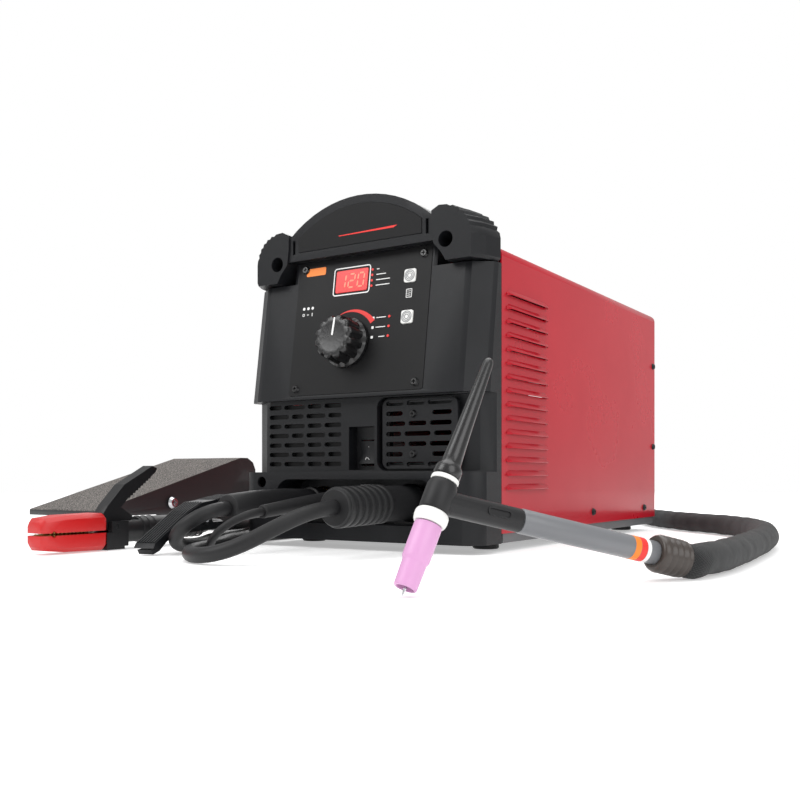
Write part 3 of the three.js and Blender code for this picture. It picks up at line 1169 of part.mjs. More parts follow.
// the outer shape of a coil: a flat ring lying on the ground
function coilRing({ x, y, middle, wide, high }, grow = 0) {
  const [inner, outer] = [middle - wide / 2 - grow, middle + wide / 2 + grow];
  const ring = turned([[inner, -grow], [outer, -grow], [outer, high + grow], [inner, high + grow], [inner, -grow]], 32);
  ring.translate(x, y, 0);
  return solid(ring);
}

// a round lead through its route's points
function lead(route, diameter, sides, steps) {
  const points = route.map((p) => (p instanceof THREE.Vector3 ? p : new THREE.Vector3(...p)));
  const section = [];
  for (let i = 0; i < sides; i += 1) {
    const angle = (i + 0.5) * 2 * Math.PI / sides;
    section.push([diameter / 2 * Math.cos(angle), diameter / 2 * Math.sin(angle)]);
  }
  const path = new THREE.CatmullRomCurve3(points, false, 'centripetal');
  return solid(new THREE.ExtrudeGeometry(outline(section), { steps, bevelEnabled: false, extrudePath: path }));
}

function torchCover() {
  const exit = TORCH_HEAD.clone().add(torchReach.clone().setLength(TAIL_DISTANCE + GAP));
  const ahead = TORCH_HEAD.clone().add(torchReach.clone().setLength(TAIL_DISTANCE + 8));
  return lead([exit, ahead, ...COVER_ROUTE, [0, CUFF_Y, 12]], COVER_SLEEVE, 10, 24);
}

function torchCuff() {
  const radii = [[0, COVER_SLEEVE / 2 + 1.2], [8, COVER_SLEEVE / 2 + 1.2], [12, COVER_SLEEVE / 2 - 1], [CUFF_LENGTH, 7.6]];
  const stations = radii.map(([along, radius]) => {
    const z = 13.4 + (7.8 - 13.4) * along / CUFF_LENGTH;
    return [0, -along, z, radius];
  });
  const cuff = boot(stations, 16).rotate([0, 0, -90]).translate([-GAP, CUFF_Y, 0]);
  return cut(cuff, coilRing(TORCH_COIL, GAP));
}

// the holder's plug lies behind its coil, the pin pointing to the machine
function holderPlug() {
  const r = HOLDER_PLUG_RADIUS;
  const stations = [[0, -14, 7, 6.8], [0, -56, r, r - 2], [0, -58, r, r], [0, -90, r, r], [0, -91, r, 7], [0, -108, r, 7]];
  const y = HOLDER_COIL.y + HOLDER_COIL.middle + LEAD * 1.5;
  const plug = boot(stations, 16).rotate([0, 0, 90]).translate([HOLDER_COIL.x, y, 0]);
  return cut(plug, coilRing(HOLDER_COIL, GAP));
}

const electrodeExit = ELECTRODE_BOOT_END.clone().add(new THREE.Vector3(0, -GAP, 0));
const workExit = WORK_BOOT_END.clone().add(new THREE.Vector3(0, -GAP, 0));
const remoteExit = REMOTE_SLEEVE_END.clone().add(new THREE.Vector3(0, -GAP, 0));
const pedalExit = [PEDAL.x, PEDAL.y + PEDAL_LENGTH + RELIEF_LENGTH + GAP, 8];
const holderExit = [HOLDER.x, HOLDER.y + HOLDER_LENGTH + GAP, HOLDER.z];
const fromClamp = (y) => new THREE.Vector3(0, y, 20.8).applyAxisAngle(new THREE.Vector3(0, 0, 1), CLAMP_TURN).add(CLAMP);

place('torch_cover', torchCover(), 'woven_cover');
place('torch_cuff', torchCuff(), 'black_rubber');
place('torch_coil', coilRing(TORCH_COIL), 'black_rubber');
place('torch_lead', cut(lead([electrodeExit, ...TORCH_LEAD_ROUTE], LEAD, 8, 40), coilRing(TORCH_COIL, GAP)),
  'black_rubber');
place('work_lead', cut(lead([workExit, ...WORK_LEAD_ROUTE], LEAD, 8, 36), coilRing(WORK_COIL, GAP)), 'black_rubber');
place('work_coil', coilRing(WORK_COIL), 'black_rubber');
place('clamp_lead', cut(lead([fromClamp(155 + GAP), fromClamp(164), ...CLAMP_LEAD_ROUTE], LEAD, 8, 28),
  coilRing(WORK_COIL, GAP)), 'black_rubber');
place('pedal_lead', cut(lead([remoteExit, ...PEDAL_LEAD_ROUTE], THIN_LEAD, 8, 50), coilRing(PEDAL_COIL, GAP)),
  'black_rubber');
place('pedal_coil', coilRing(PEDAL_COIL), 'black_rubber');
place('pedal_lead_end', cut(lead([...PEDAL_END_ROUTE, pedalExit], THIN_LEAD, 8, 6), coilRing(PEDAL_COIL, GAP)),
  'black_rubber');
place('holder_lead', cut(lead([holderExit, ...HOLDER_LEAD_ROUTE], LEAD, 8, 28), coilRing(HOLDER_COIL, GAP)),
  'black_rubber');
place('holder_coil', coilRing(HOLDER_COIL), 'black_rubber');
place('holder_plug', holderPlug(), 'black_rubber');

export default outfit;
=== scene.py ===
import math

import bmesh
import bpy
from bpy.props import FloatProperty, FloatVectorProperty, IntProperty
from mathutils import Matrix, Vector


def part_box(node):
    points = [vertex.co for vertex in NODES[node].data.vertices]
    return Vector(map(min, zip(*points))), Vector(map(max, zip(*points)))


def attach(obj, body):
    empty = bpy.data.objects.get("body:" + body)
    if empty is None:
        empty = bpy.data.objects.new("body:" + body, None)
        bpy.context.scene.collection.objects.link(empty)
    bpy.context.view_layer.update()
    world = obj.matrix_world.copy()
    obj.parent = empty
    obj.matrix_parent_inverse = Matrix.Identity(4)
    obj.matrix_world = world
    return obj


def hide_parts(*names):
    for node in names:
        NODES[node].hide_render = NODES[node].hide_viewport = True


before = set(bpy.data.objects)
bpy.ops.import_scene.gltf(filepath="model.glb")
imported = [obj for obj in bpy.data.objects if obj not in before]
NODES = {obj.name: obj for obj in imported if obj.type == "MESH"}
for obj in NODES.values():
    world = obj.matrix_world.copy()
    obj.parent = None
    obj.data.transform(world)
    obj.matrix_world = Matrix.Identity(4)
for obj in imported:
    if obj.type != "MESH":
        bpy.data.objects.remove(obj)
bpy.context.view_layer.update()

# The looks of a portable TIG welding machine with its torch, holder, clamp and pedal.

bl_info = {
    "name": "TIG Welding Machine",
    "version": (1, 0, 0),
    "blender": (4, 5, 0),
    "location": "View3D > Sidebar > Welder",
    "description": "Builds the visible surfaces of a TIG welding machine and its accessories",
    "category": "Object",
}

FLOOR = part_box("foot_1")[0].z


def at(x, y, z):
    """A place in millimetres, its height counted from the floor, as a point of the frame."""
    return Vector((x / 1000, y / 1000, z / 1000 + FLOOR))


# the control panel's own frame: X across, Y into the machine, Z up its face
TILT = math.radians(8.2)
PANEL = Matrix.Translation(at(0, -246.424, 150)) @ Matrix.Rotation(-TILT, 4, "X")
PANEL_FACE = -0.5
KNOB = (-11, 50)
WINDOW = (-12, 113)
BUTTONS = {"page": (56, 110), "mode": (56, 70)}

TORCH_HEAD = at(239, -494, 55)
TORCH_TIP = at(233, -524, 0.6)
TORCH_TAIL = at(335, -349, 16)
TORCH_UP = (TORCH_HEAD - TORCH_TIP).normalized()
TORCH_REACH = (TORCH_TAIL - TORCH_HEAD).normalized()
TIP_DEPTH = (TORCH_HEAD - TORCH_TIP).length * 1000
HOLDER = at(-198, -455, 18)
CLAMP = Matrix.Translation(at(-110, -408, 0)) @ Matrix.Rotation(math.radians(14), 4, "Z")
PEDAL = at(-412, -258, 0)


# ---------------------------------------------------------------- settings


class WelderSizes(bpy.types.PropertyGroup):
    """Sizes that a user may change"""

    lead: FloatProperty(name="Welding lead", description="Diameter of the welding leads",
                        default=0.013, unit="LENGTH")
    thin_lead: FloatProperty(name="Pedal lead", description="Diameter of the pedal's lead",
                             default=0.007, unit="LENGTH")
    cover: FloatProperty(name="Torch cover", description="Diameter of the woven torch cover",
                         default=0.024, unit="LENGTH")
    edge: FloatProperty(name="Edge", description="Rounding of the moulded edges", default=0.0006,
                        unit="LENGTH")
    screw: FloatProperty(name="Screw head", description="Radius of the case's screw heads",
                         default=0.0042, unit="LENGTH")
    sides: IntProperty(name="Roundness", description="Number of sides of round pieces", default=64,
                       min=16)


class WelderColours(bpy.types.PropertyGroup):
    """Colours that a user may change"""

    red: FloatVectorProperty(name="Case red", description="Paint of the cover", subtype="COLOR",
                             default=(0.4, 0.003, 0.014))
    black: FloatVectorProperty(name="Moulding", description="Moulded black parts", subtype="COLOR",
                               default=(0.0075, 0.008, 0.0095))
    rubber: FloatVectorProperty(name="Rubber", description="Leads and boots", subtype="COLOR",
                                default=(0.008, 0.008, 0.009))
    ceramic: FloatVectorProperty(name="Nozzle", description="Ceramic nozzle", subtype="COLOR",
                                 default=(0.6, 0.3, 0.53))
    glow: FloatVectorProperty(name="Display", description="Lit digits", subtype="COLOR",
                              default=(1.0, 0.09, 0.05))


def sizes():
    return bpy.context.scene.welder_sizes


def colours():
    return bpy.context.scene.welder_colours


# ---------------------------------------------------------------- shader groups


def group_tree(name, inputs, outputs):
    """A new shader group with named sockets, its input node and its output node."""
    tree = bpy.data.node_groups.new(name, "ShaderNodeTree")
    for socket, kind, value in inputs:
        made = tree.interface.new_socket(name=socket, in_out="INPUT", socket_type=kind)
        if value is not None:
            made.default_value = value
    for socket, kind in outputs:
        tree.interface.new_socket(name=socket, in_out="OUTPUT", socket_type=kind)
    return tree, tree.nodes.new("NodeGroupInput"), tree.nodes.new("NodeGroupOutput")


def feed(tree, socket, value):
    """Sets a socket to a number, or links it to another node's output."""
    if isinstance(value, (int, float)):
        socket.default_value = value
    else:
        tree.links.new(value, socket)


def noise(tree, vector, scale, detail):
    node = tree.nodes.new("ShaderNodeTexNoise")
    node.inputs["Detail"].default_value = detail
    tree.links.new(vector, node.inputs["Vector"])
    feed(tree, node.inputs["Scale"], scale)
    return node.outputs["Fac"]


def math_node(tree, kind, a, b=None):
    node = tree.nodes.new("ShaderNodeMath")
    node.operation = kind
    feed(tree, node.inputs[0], a)
    if b is not None:
        feed(tree, node.inputs[1], b)
    return node.outputs[0]


def mixed(tree, factor, a, b):
    """A colour between two others, each a plain colour or another node's output."""
    node = tree.nodes.new("ShaderNodeMix")
    node.data_type = "RGBA"
    for key, value in (("A", a), ("B", b)):
        if isinstance(value, tuple):
            node.inputs[key].default_value = (*value, 1)
        else:
            tree.links.new(value, node.inputs[key])
    tree.links.new(factor, node.inputs["Factor"])
    return node.outputs["Result"]


def ranged(tree, value, low, high, to_low, to_high):
    node = tree.nodes.new("ShaderNodeMapRange")
    for key, number in (("From Min", low), ("From Max", high), ("To Min", to_low),
                        ("To Max", to_high)):
        node.inputs[key].default_value = number
    tree.links.new(value, node.inputs["Value"])
    return node.outputs["Result"]


def grain_group():
    """Fine surface grain and slow shade changes over a surface."""
    tree, entry, out = group_tree(
        "surface_grain",
        [("Vector", "NodeSocketVector", None), ("Grain Scale", "NodeSocketFloat", 900.0),
         ("Cloud Scale", "NodeSocketFloat", 9.0)],
        [("Height", "NodeSocketFloat"), ("Cloud", "NodeSocketFloat")],
    )
    fine = noise(tree, entry.outputs["Vector"], entry.outputs["Grain Scale"], 3.0)
    cloud = noise(tree, entry.outputs["Vector"], entry.outputs["Cloud Scale"], 6.0)
    tree.links.new(fine, out.inputs["Height"])
    tree.links.new(ranged(tree, cloud, 0.3, 0.7, 0.0, 1.0), out.inputs["Cloud"])
    return tree


def scuff_group():
    """Sparse thin scratches and dust, as a mask."""
    tree, entry, out = group_tree(
        "light_scuffs",
        [("Vector", "NodeSocketVector", None), ("Scale", "NodeSocketFloat", 60.0)],
        [("Mask", "NodeSocketFloat")],
    )
    stretch = tree.nodes.new("ShaderNodeMapping")
    stretch.inputs["Scale"].default_value = (1.0, 0.12, 1.0)
    stretch.inputs["Rotation"].default_value = (0.4, 0.2, 0.9)
    tree.links.new(entry.outputs["Vector"], stretch.inputs["Vector"])
    streak = noise(tree, stretch.outputs["Vector"], entry.outputs["Scale"], 8.0)
    tree.links.new(ranged(tree, streak, 0.68, 0.8, 0.0, 1.0), out.inputs["Mask"])
    return tree


GROUPS = {}
GRAIN_DEPTH = 0.0003
COAT_ROUGHNESS = 0.06


def shader_group(name, build):
    if name not in GROUPS:
        GROUPS[name] = build()
    return GROUPS[name]


def finish(name, colour, roughness=0.5, metallic=0.0, shade=0.75, grain=900.0, bump=0.15,
           spread=0.08, coat=0.0, cloud=9.0, scuff=0.0, anisotropic=0.0, specular=0.5):
    """A material with grain, slow shade changes and, where asked, scuffs and a clear coat."""
    made = bpy.data.materials.new(name)
    made.use_nodes = True
    tree = made.node_tree
    shader = tree.nodes["Principled BSDF"]
    place = tree.nodes.new("ShaderNodeTexCoord").outputs["Object"]
    surface = tree.nodes.new("ShaderNodeGroup")
    surface.node_tree = shader_group("grain", grain_group)
    surface.inputs["Grain Scale"].default_value = grain
    surface.inputs["Cloud Scale"].default_value = cloud
    tree.links.new(place, surface.inputs["Vector"])
    clouds = surface.outputs["Cloud"]
    base = mixed(tree, clouds, tuple(colour), tuple(channel * shade for channel in colour))
    smoothest, roughest = max(roughness - spread, 0.02), min(roughness + spread, 1.0)
    rough = ranged(tree, clouds, 0.0, 1.0, smoothest, roughest)
    if scuff:
        marks = tree.nodes.new("ShaderNodeGroup")
        marks.node_tree = shader_group("scuffs", scuff_group)
        tree.links.new(place, marks.inputs["Vector"])
        strength = math_node(tree, "MULTIPLY", marks.outputs["Mask"], scuff)
        worn = tuple(min(channel * 1.6 + 0.03, 1) for channel in colour)
        base = mixed(tree, strength, base, worn)
        rough = math_node(tree, "ADD", rough, math_node(tree, "MULTIPLY", strength, 0.3))
    tree.links.new(base, shader.inputs["Base Color"])
    tree.links.new(rough, shader.inputs["Roughness"])
    shader.inputs["Metallic"].default_value = metallic
    shader.inputs["Coat Weight"].default_value = coat
    shader.inputs["Coat Roughness"].default_value = COAT_ROUGHNESS
    shader.inputs["Anisotropic"].default_value = anisotropic
    shader.inputs["Specular IOR Level"].default_value = specular
    relief = tree.nodes.new("ShaderNodeBump")
    relief.inputs["Strength"].default_value = bump
    relief.inputs["Distance"].default_value = GRAIN_DEPTH
    tree.links.new(surface.outputs["Height"], relief.inputs["Height"])
    tree.links.new(relief.outputs["Normal"], shader.inputs["Normal"])
    return made


def glowing(name, colour, strength):
    made = finish(name, colour, 0.3, bump=0.02)
    shader = made.node_tree.nodes["Principled BSDF"]
    shader.inputs["Emission Color"].default_value = (*colour, 1)
    shader.inputs["Emission Strength"].default_value = strength
    return made


THREADS_AROUND = 36
THREAD_PITCH = 0.0022


def woven_finish(name, colour):
    """Woven sleeve: two sets of threads over the tube's own UV map, in metres along it."""
    made = finish(name, colour, 0.85, bump=0.2, spread=0.1, cloud=20.0)
    tree = made.node_tree
    shader = tree.nodes["Principled BSDF"]
    split = tree.nodes.new("ShaderNodeSeparateXYZ")
    tree.links.new(tree.nodes.new("ShaderNodeUVMap").outputs["UV"], split.inputs[0])
    around = math_node(tree, "SINE",
                       math_node(tree, "MULTIPLY", split.outputs["X"],
                                 2 * math.pi * THREADS_AROUND))
    along = math_node(tree, "SINE",
                      math_node(tree, "MULTIPLY", split.outputs["Y"], 2 * math.pi / THREAD_PITCH))
    threads = math_node(tree, "MULTIPLY", around, along)
    wrinkle = noise(tree, tree.nodes.new("ShaderNodeTexCoord").outputs["Object"], 55.0, 3.0)
    height = math_node(tree, "ADD", math_node(tree, "MULTIPLY", threads, 0.25),
                       math_node(tree, "MULTIPLY", wrinkle, 2.2))
    relief = tree.nodes["Bump"]
    relief.inputs["Distance"].default_value = 0.0011
    relief.inputs["Strength"].default_value = 0.75
    tree.links.new(height, relief.inputs["Height"])
    plain = shader.inputs["Base Color"].links[0].from_socket
    light = tuple(channel * 2.0 for channel in colour)
    woven = mixed(tree, ranged(tree, threads, -1.0, 1.0, 0.0, 0.55), plain, light)
    tree.links.new(woven, shader.inputs["Base Color"])
    shader.inputs["Sheen Weight"].default_value = 0.08
    return made


def pedal_finish(name, colour):
    """Gloss paint on the sides, gritty grip coating where the surface looks up."""
    made = finish(name, colour, 0.42, shade=0.8, coat=0.15, bump=0.08, scuff=0.15, specular=0.4)
    tree = made.node_tree
    shader = tree.nodes["Principled BSDF"]
    split = tree.nodes.new("ShaderNodeSeparateXYZ")
    coords = tree.nodes.new("ShaderNodeTexCoord")
    tree.links.new(coords.outputs["Normal"], split.inputs[0])
    top = ranged(tree, split.outputs["Z"], 0.6, 0.75, 0.0, 1.0)
    grit = noise(tree, coords.outputs["Object"], 700.0, 6.0)
    specks = ranged(tree, grit, 0.42, 0.62, 0.0, 1.0)
    grip = mixed(tree, specks, (0.02, 0.019, 0.018), (0.2, 0.18, 0.165))
    plain = shader.inputs["Base Color"].links[0].from_socket
    tree.links.new(mixed(tree, top, plain, grip), shader.inputs["Base Color"])
    rough = shader.inputs["Roughness"].links[0].from_socket
    tree.links.new(math_node(tree, "MAXIMUM", rough, math_node(tree, "MULTIPLY", top, 0.85)),
                   shader.inputs["Roughness"])
    tree.links.new(math_node(tree, "MULTIPLY", math_node(tree, "SUBTRACT", 1.0, top), 0.15),
                   shader.inputs["Coat Weight"])
    relief = tree.nodes["Bump"]
    relief.inputs["Strength"].default_value = 0.8
    relief.inputs["Distance"].default_value = 0.0007
    tree.links.new(math_node(tree, "MULTIPLY", grit, top), relief.inputs["Height"])
    return made


def make_finishes():
    c = colours()
    return {
        "red_paint": finish("red_paint", c.red, 0.3, 0, 0.88, 1400, 0.03, 0.04, coat=0.12,
                            scuff=0.02, specular=0.22),
        "grey_steel": finish("grey_steel", (0.13, 0.135, 0.14), 0.5, 0.3, 0.8, 1200, 0.15),
        "black_moulding": finish("black_moulding", c.black, 0.4, 0, 0.75, 2200, 0.35, 0.07,
                                 scuff=0.08, specular=0.26),
        "panel_film": finish("panel_film", (0.005, 0.005, 0.0055), 0.48, 0, 0.8, 3000, 0.12, 0.05,
                             specular=0.22),
        "red_lens": glowing("red_lens", (0.5, 0.004, 0.003), 0.4),
        "knob_plastic": finish("knob_plastic", (0.006, 0.006, 0.0065), 0.28, 0, 0.8, 2500, 0.15,
                               0.06, coat=0.1),
        "white_plastic": finish("white_plastic", (0.72, 0.72, 0.7), 0.42, 0, 0.92, 1800, 0.15),
        "black_rubber": finish("black_rubber", c.rubber, 0.48, 0, 0.7, 1500, 0.3, 0.1, scuff=0.1,
                               specular=0.35),
        "brass": finish("brass", (0.62, 0.4, 0.13), 0.3, 1.0, 0.75, 900, 0.1),
        "bright_steel": finish("bright_steel", (0.6, 0.61, 0.63), 0.24, 1.0, 0.8, 1100, 0.1,
                               anisotropic=0.4),
        "aluminium": finish("aluminium", (0.55, 0.56, 0.58), 0.4, 1.0, 0.85, 900, 0.15),
        "green_board": finish("green_board", (0.015, 0.09, 0.035), 0.45, 0, 0.7, 400, 0.2),
        "pink_ceramic": finish("pink_ceramic", c.ceramic, 0.38, 0, 0.9, 2600, 0.25, 0.06),
        "grey_plastic": finish("grey_plastic", (0.15, 0.155, 0.165), 0.38, 0, 0.85, 1600, 0.12,
                               0.05, coat=0.1),
        "brown_clamp": finish("brown_clamp", (0.035, 0.024, 0.018), 0.4, 0, 0.7, 900, 0.2,
                              coat=0.2),
        "woven_cover": woven_finish("woven_cover", (0.004, 0.0045, 0.005)),
        "red_insulator": finish("red_insulator", (0.52, 0.008, 0.009), 0.42, 0, 0.85, 1100, 0.3,
                                0.06, scuff=0.15),
        "pedal_paint": pedal_finish("pedal_paint", (0.012, 0.012, 0.013)),
        "white_print": finish("white_print", (0.75, 0.75, 0.74), 0.5, 0, 0.94, 2500, 0.05),
        "red_print": finish("red_print", (0.7, 0.02, 0.015), 0.45, 0, 0.9, 2500, 0.05),
        "orange_print": finish("orange_print", (0.8, 0.2, 0.01), 0.45, 0, 0.9, 2500, 0.05),
        "copper": finish("copper", (0.6, 0.22, 0.1), 0.35, 1.0, 0.7, 600, 0.3),
        "lit_red": glowing("lit_red", tuple(c.glow), 1.6),
    }


FINISHES = {}


def finish_of(name):
    """One of the finishes, which are all made when the first is asked for."""
    if not FINISHES:
        FINISHES.update(make_finishes())
    return FINISHES[name]


# ---------------------------------------------------------------- mesh helpers


def linked(name, data):
    """A new object in the scene."""
    made = bpy.data.objects.new(name, data)
    bpy.context.scene.collection.objects.link(made)
    return made


def add(name, mesh, finish_name, body, slot=None, replaced=()):
    """Puts a finished mesh in the scene, on its body."""
    mesh.name = name
    mesh.materials.clear()
    mesh.materials.append(finish_of(finish_name))
    piece = linked(name, mesh)
    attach(piece, body)
    if replaced:
        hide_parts(*replaced)
    slot = slot or finish_name
    return piece


def from_bmesh(shape, smooth=40):
    """A mesh of a bmesh with its faces outward, smooth where they meet at less than the angle."""
    bmesh.ops.recalc_face_normals(shape, faces=shape.faces)
    return shaded(shape, smooth)


def shaded(shape, smooth):
    limit = math.radians(smooth)
    for face in shape.faces:
        face.smooth = True
    for edge in shape.edges:
        if len(edge.link_faces) == 2 and edge.calc_face_angle(0) > limit:
            edge.smooth = False
    mesh = bpy.data.meshes.new("mesh")
    shape.to_mesh(mesh)
    shape.free()
    return mesh


WELD_DISTANCE = 2e-6
FLAT_ANGLE = math.radians(0.6)
SHARP_ANGLE = math.radians(42)
WIDE_FACE = 0.012


def softened(node, finish_name, body, edge=None, smooth=36):
    """Stands for a CAD node: the same shape with rounded edges and smooth round faces."""
    shape = bmesh.new()
    shape.from_mesh(NODES[node].data)
    bmesh.ops.remove_doubles(shape, verts=shape.verts, dist=WELD_DISTANCE)
    bmesh.ops.dissolve_limit(shape, angle_limit=FLAT_ANGLE, verts=shape.verts, edges=shape.edges)
    width = sizes().edge if edge is None else edge
    if width:
        sharp = [e for e in shape.edges
                 if len(e.link_faces) == 2 and e.calc_face_angle(0) > SHARP_ANGLE]
        bmesh.ops.bevel(shape, geom=sharp, offset=width, offset_type="OFFSET", segments=2,
                        profile=0.6,
                        affect="EDGES", clamp_overlap=True)
    for face in shape.faces:
        wide = face.calc_area() > WIDE_FACE * max(edge.calc_length() for edge in face.edges)
        for edge in face.edges if wide else ():
            if len(edge.link_faces) == 2 and edge.calc_face_angle(0) > math.radians(1):
                edge.smooth = False
    bmesh.ops.triangulate(shape, faces=[f for f in shape.faces if len(f.verts) > 4])
    return add("soft_" + node, shaded(shape, smooth), finish_name, body, replaced=(node,))


def rings_mesh(rings, smooth=40, looped=False):
    """A skin through rings with as many points each, with flat ends unless it loops back."""
    shape = bmesh.new()
    rows = [[shape.verts.new(p) for p in ring] for ring in rings]
    for a, b in zip(rows, rows[1:] + (rows[:1] if looped else [])):
        for i in range(len(a)):
            j = (i + 1) % len(a)
            shape.faces.new((a[i], a[j], b[j], b[i]))
    if not looped:
        shape.faces.new(rows[0][::-1])
        shape.faces.new(rows[-1])
    return from_bmesh(shape, smooth)


def basis(axis):
    """Two directions square to an axis."""
    axis = axis.normalized()
    helper = Vector((1, 0, 0)) if abs(axis.x) < 0.8 else Vector((0, 1, 0))
    side = axis.cross(helper).normalized()
    return side, axis.cross(side).normalized()


def circle(middle, side, other, radius, count):
    """Points round a middle, in the plane of two directions."""
    turns = [2 * math.pi * i / count for i in range(count)]
    return [middle + (side * math.cos(t) + other * math.sin(t)) * radius for t in turns]


def lathe(origin, axis, profile, sides=None, looped=False):
    """A round body about an axis, of (radius, distance along the axis) in millimetres."""
    axis = axis.normalized()
    side, other = basis(axis)
    count = sides or sizes().sides
    rings = [circle(origin + axis * along / 1000, side, other, max(radius, 0.01) / 1000, count)
             for radius, along in profile]
    return rings_mesh(rings, looped=looped)


def tube(points, radius, sides=16, swell=None):
    """A round tube along points, with a UV map: once around, metres along."""
    shape = bmesh.new()
    layer = shape.loops.layers.uv.new("UVMap")
    rows, lengths, total = [], [], 0.0
    normal = None
    for i, p in enumerate(points):
        ahead = points[min(i + 1, len(points) - 1)] - points[max(i - 1, 0)]
        ahead.normalize()
        if normal is None:
            normal = basis(ahead)[0]
        normal = (normal - ahead * normal.dot(ahead)).normalized()
        total += (p - points[i - 1]).length if i else 0.0
        lengths.append(total)
        here = radius * (swell(total) if swell else 1.0)
        ring = circle(p, normal, ahead.cross(normal).normalized(), here, sides)
        rows.append([shape.verts.new(q) for q in ring])
    for i, (a, b) in enumerate(zip(rows, rows[1:])):
        for k in range(sides):
            j = (k + 1) % sides
            face = shape.faces.new((a[k], a[j], b[j], b[k]))
            corners = ((k, i), (k + 1, i), (k + 1, i + 1), (k, i + 1))
            for loop, (u, v) in zip(face.loops, corners):
                loop[layer].uv = (u / sides, lengths[v])
    shape.faces.new(rows[0][::-1])
    shape.faces.new(rows[-1])
    return from_bmesh(shape, 60)


def slab_mesh(outline, depth, place):
    """A flat outline in X and Z, depth thick towards -Y, in millimetres, put in its place."""
    rings = [[place @ (Vector((x, y, z)) / 1000) for x, z in outline] for y in (-depth, 0)]
    return rings_mesh(rings, 30)


def rounded(width, height, radius, x=0.0, z=0.0, steps=5):
    """Outline of a rectangle with rounded corners."""
    points = []
    for cx, cz, start in ((1, 1, 0), (-1, 1, 90), (-1, -1, 180), (1, -1, 270)):
        for i in range(steps + 1):
            turn = math.radians(start + 90 * i / steps)
            points.append((x + cx * (width / 2 - radius) + radius * math.cos(turn),
                           z + cz * (height / 2 - radius) + radius * math.sin(turn)))
    return points


def merged(meshes):
    """Several meshes as one."""
    shape = bmesh.new()
    for mesh in meshes:
        shape.from_mesh(mesh)
        bpy.data.meshes.remove(mesh)
    return shaded(shape, 40)


def frame_band(width, height, radius, band, x, z):
    """The outer and the inner outline of a rounded frame."""
    outer = rounded(width, height, radius, x, z)
    return outer, rounded(width - 2 * band, height - 2 * band, max(radius - band, 0.2), x, z)


def band_mesh(outer, inner, depth, place):
    """A thin raised frame between two outlines with the same number of points."""
    rings = [[place @ (Vector((x, y, z)) / 1000) for x, z in outline]
             for outline, y in ((outer, 0), (outer, -depth), (inner, -depth), (inner, 0))]
    return rings_mesh(rings, 30, looped=True)


# ---------------------------------------------------------------- geometry nodes


def repeated(name, kind, points, facings, finish_name, body, radius, height):
    """Copies that a node tree sets on points, each turned to its facing, as one plain mesh."""
    cloud = bpy.data.meshes.new(name + "_points")
    cloud.from_pydata([tuple(p) for p in points], [], [])
    facing = cloud.attributes.new("facing", "FLOAT_VECTOR", "POINT")
    for i, direction in enumerate(facings):
        facing.data[i].vector = direction
    seed = linked(name + "_points", cloud)
    tree = bpy.data.node_groups.get(kind) or repeat_tree(kind)
    modifier = seed.modifiers.new("repeat", "NODES")
    modifier.node_group = tree
    values = {"Radius": radius, "Height": height, "Finish": finish_of(finish_name)}
    for item in tree.interface.items_tree:
        if item.item_type == "SOCKET" and item.in_out == "INPUT" and item.name in values:
            modifier[item.identifier] = values[item.name]
    bpy.context.view_layer.update()
    evaluated = seed.evaluated_get(bpy.context.evaluated_depsgraph_get())
    plain = bpy.data.meshes.new_from_object(evaluated)
    seed.modifiers.clear()
    bpy.data.objects.remove(seed)
    shape = bmesh.new()
    shape.from_mesh(plain)
    for spent in (plain, cloud):
        bpy.data.meshes.remove(spent)
    return add(name, from_bmesh(shape), finish_name, body)


def repeat_tree(kind):
    """The node tree that sets a shape on points: realized, and with its finish."""
    tree = bpy.data.node_groups.new(kind, "GeometryNodeTree")
    tree.interface.new_socket(name="Geometry", in_out="INPUT", socket_type="NodeSocketGeometry")
    for key in ("Radius", "Height"):
        tree.interface.new_socket(name=key, in_out="INPUT", socket_type="NodeSocketFloat")
    tree.interface.new_socket(name="Finish", in_out="INPUT", socket_type="NodeSocketMaterial")
    tree.interface.new_socket(name="Geometry", in_out="OUTPUT", socket_type="NodeSocketGeometry")
    entry = tree.nodes.new("NodeGroupInput")
    out = tree.nodes.new("NodeGroupOutput")
    facing = tree.nodes.new("GeometryNodeInputNamedAttribute")
    facing.data_type = "FLOAT_VECTOR"
    facing.inputs["Name"].default_value = "facing"
    turn = tree.nodes.new("FunctionNodeAlignRotationToVector")
    turn.axis = "Z"
    tree.links.new(facing.outputs["Attribute"], turn.inputs["Vector"])
    spread = tree.nodes.new("GeometryNodeInstanceOnPoints")
    tree.links.new(entry.outputs["Geometry"], spread.inputs["Points"])
    tree.links.new(SHAPES[kind](tree, entry), spread.inputs["Instance"])
    tree.links.new(turn.outputs["Rotation"], spread.inputs["Rotation"])
    real = tree.nodes.new("GeometryNodeRealizeInstances")
    tree.links.new(spread.outputs["Instances"], real.inputs["Geometry"])
    paint = tree.nodes.new("GeometryNodeSetMaterial")
    tree.links.new(real.outputs["Geometry"], paint.inputs["Geometry"])
    tree.links.new(entry.outputs["Finish"], paint.inputs["Material"])
    tree.links.new(paint.outputs["Geometry"], out.inputs["Geometry"])
    return tree


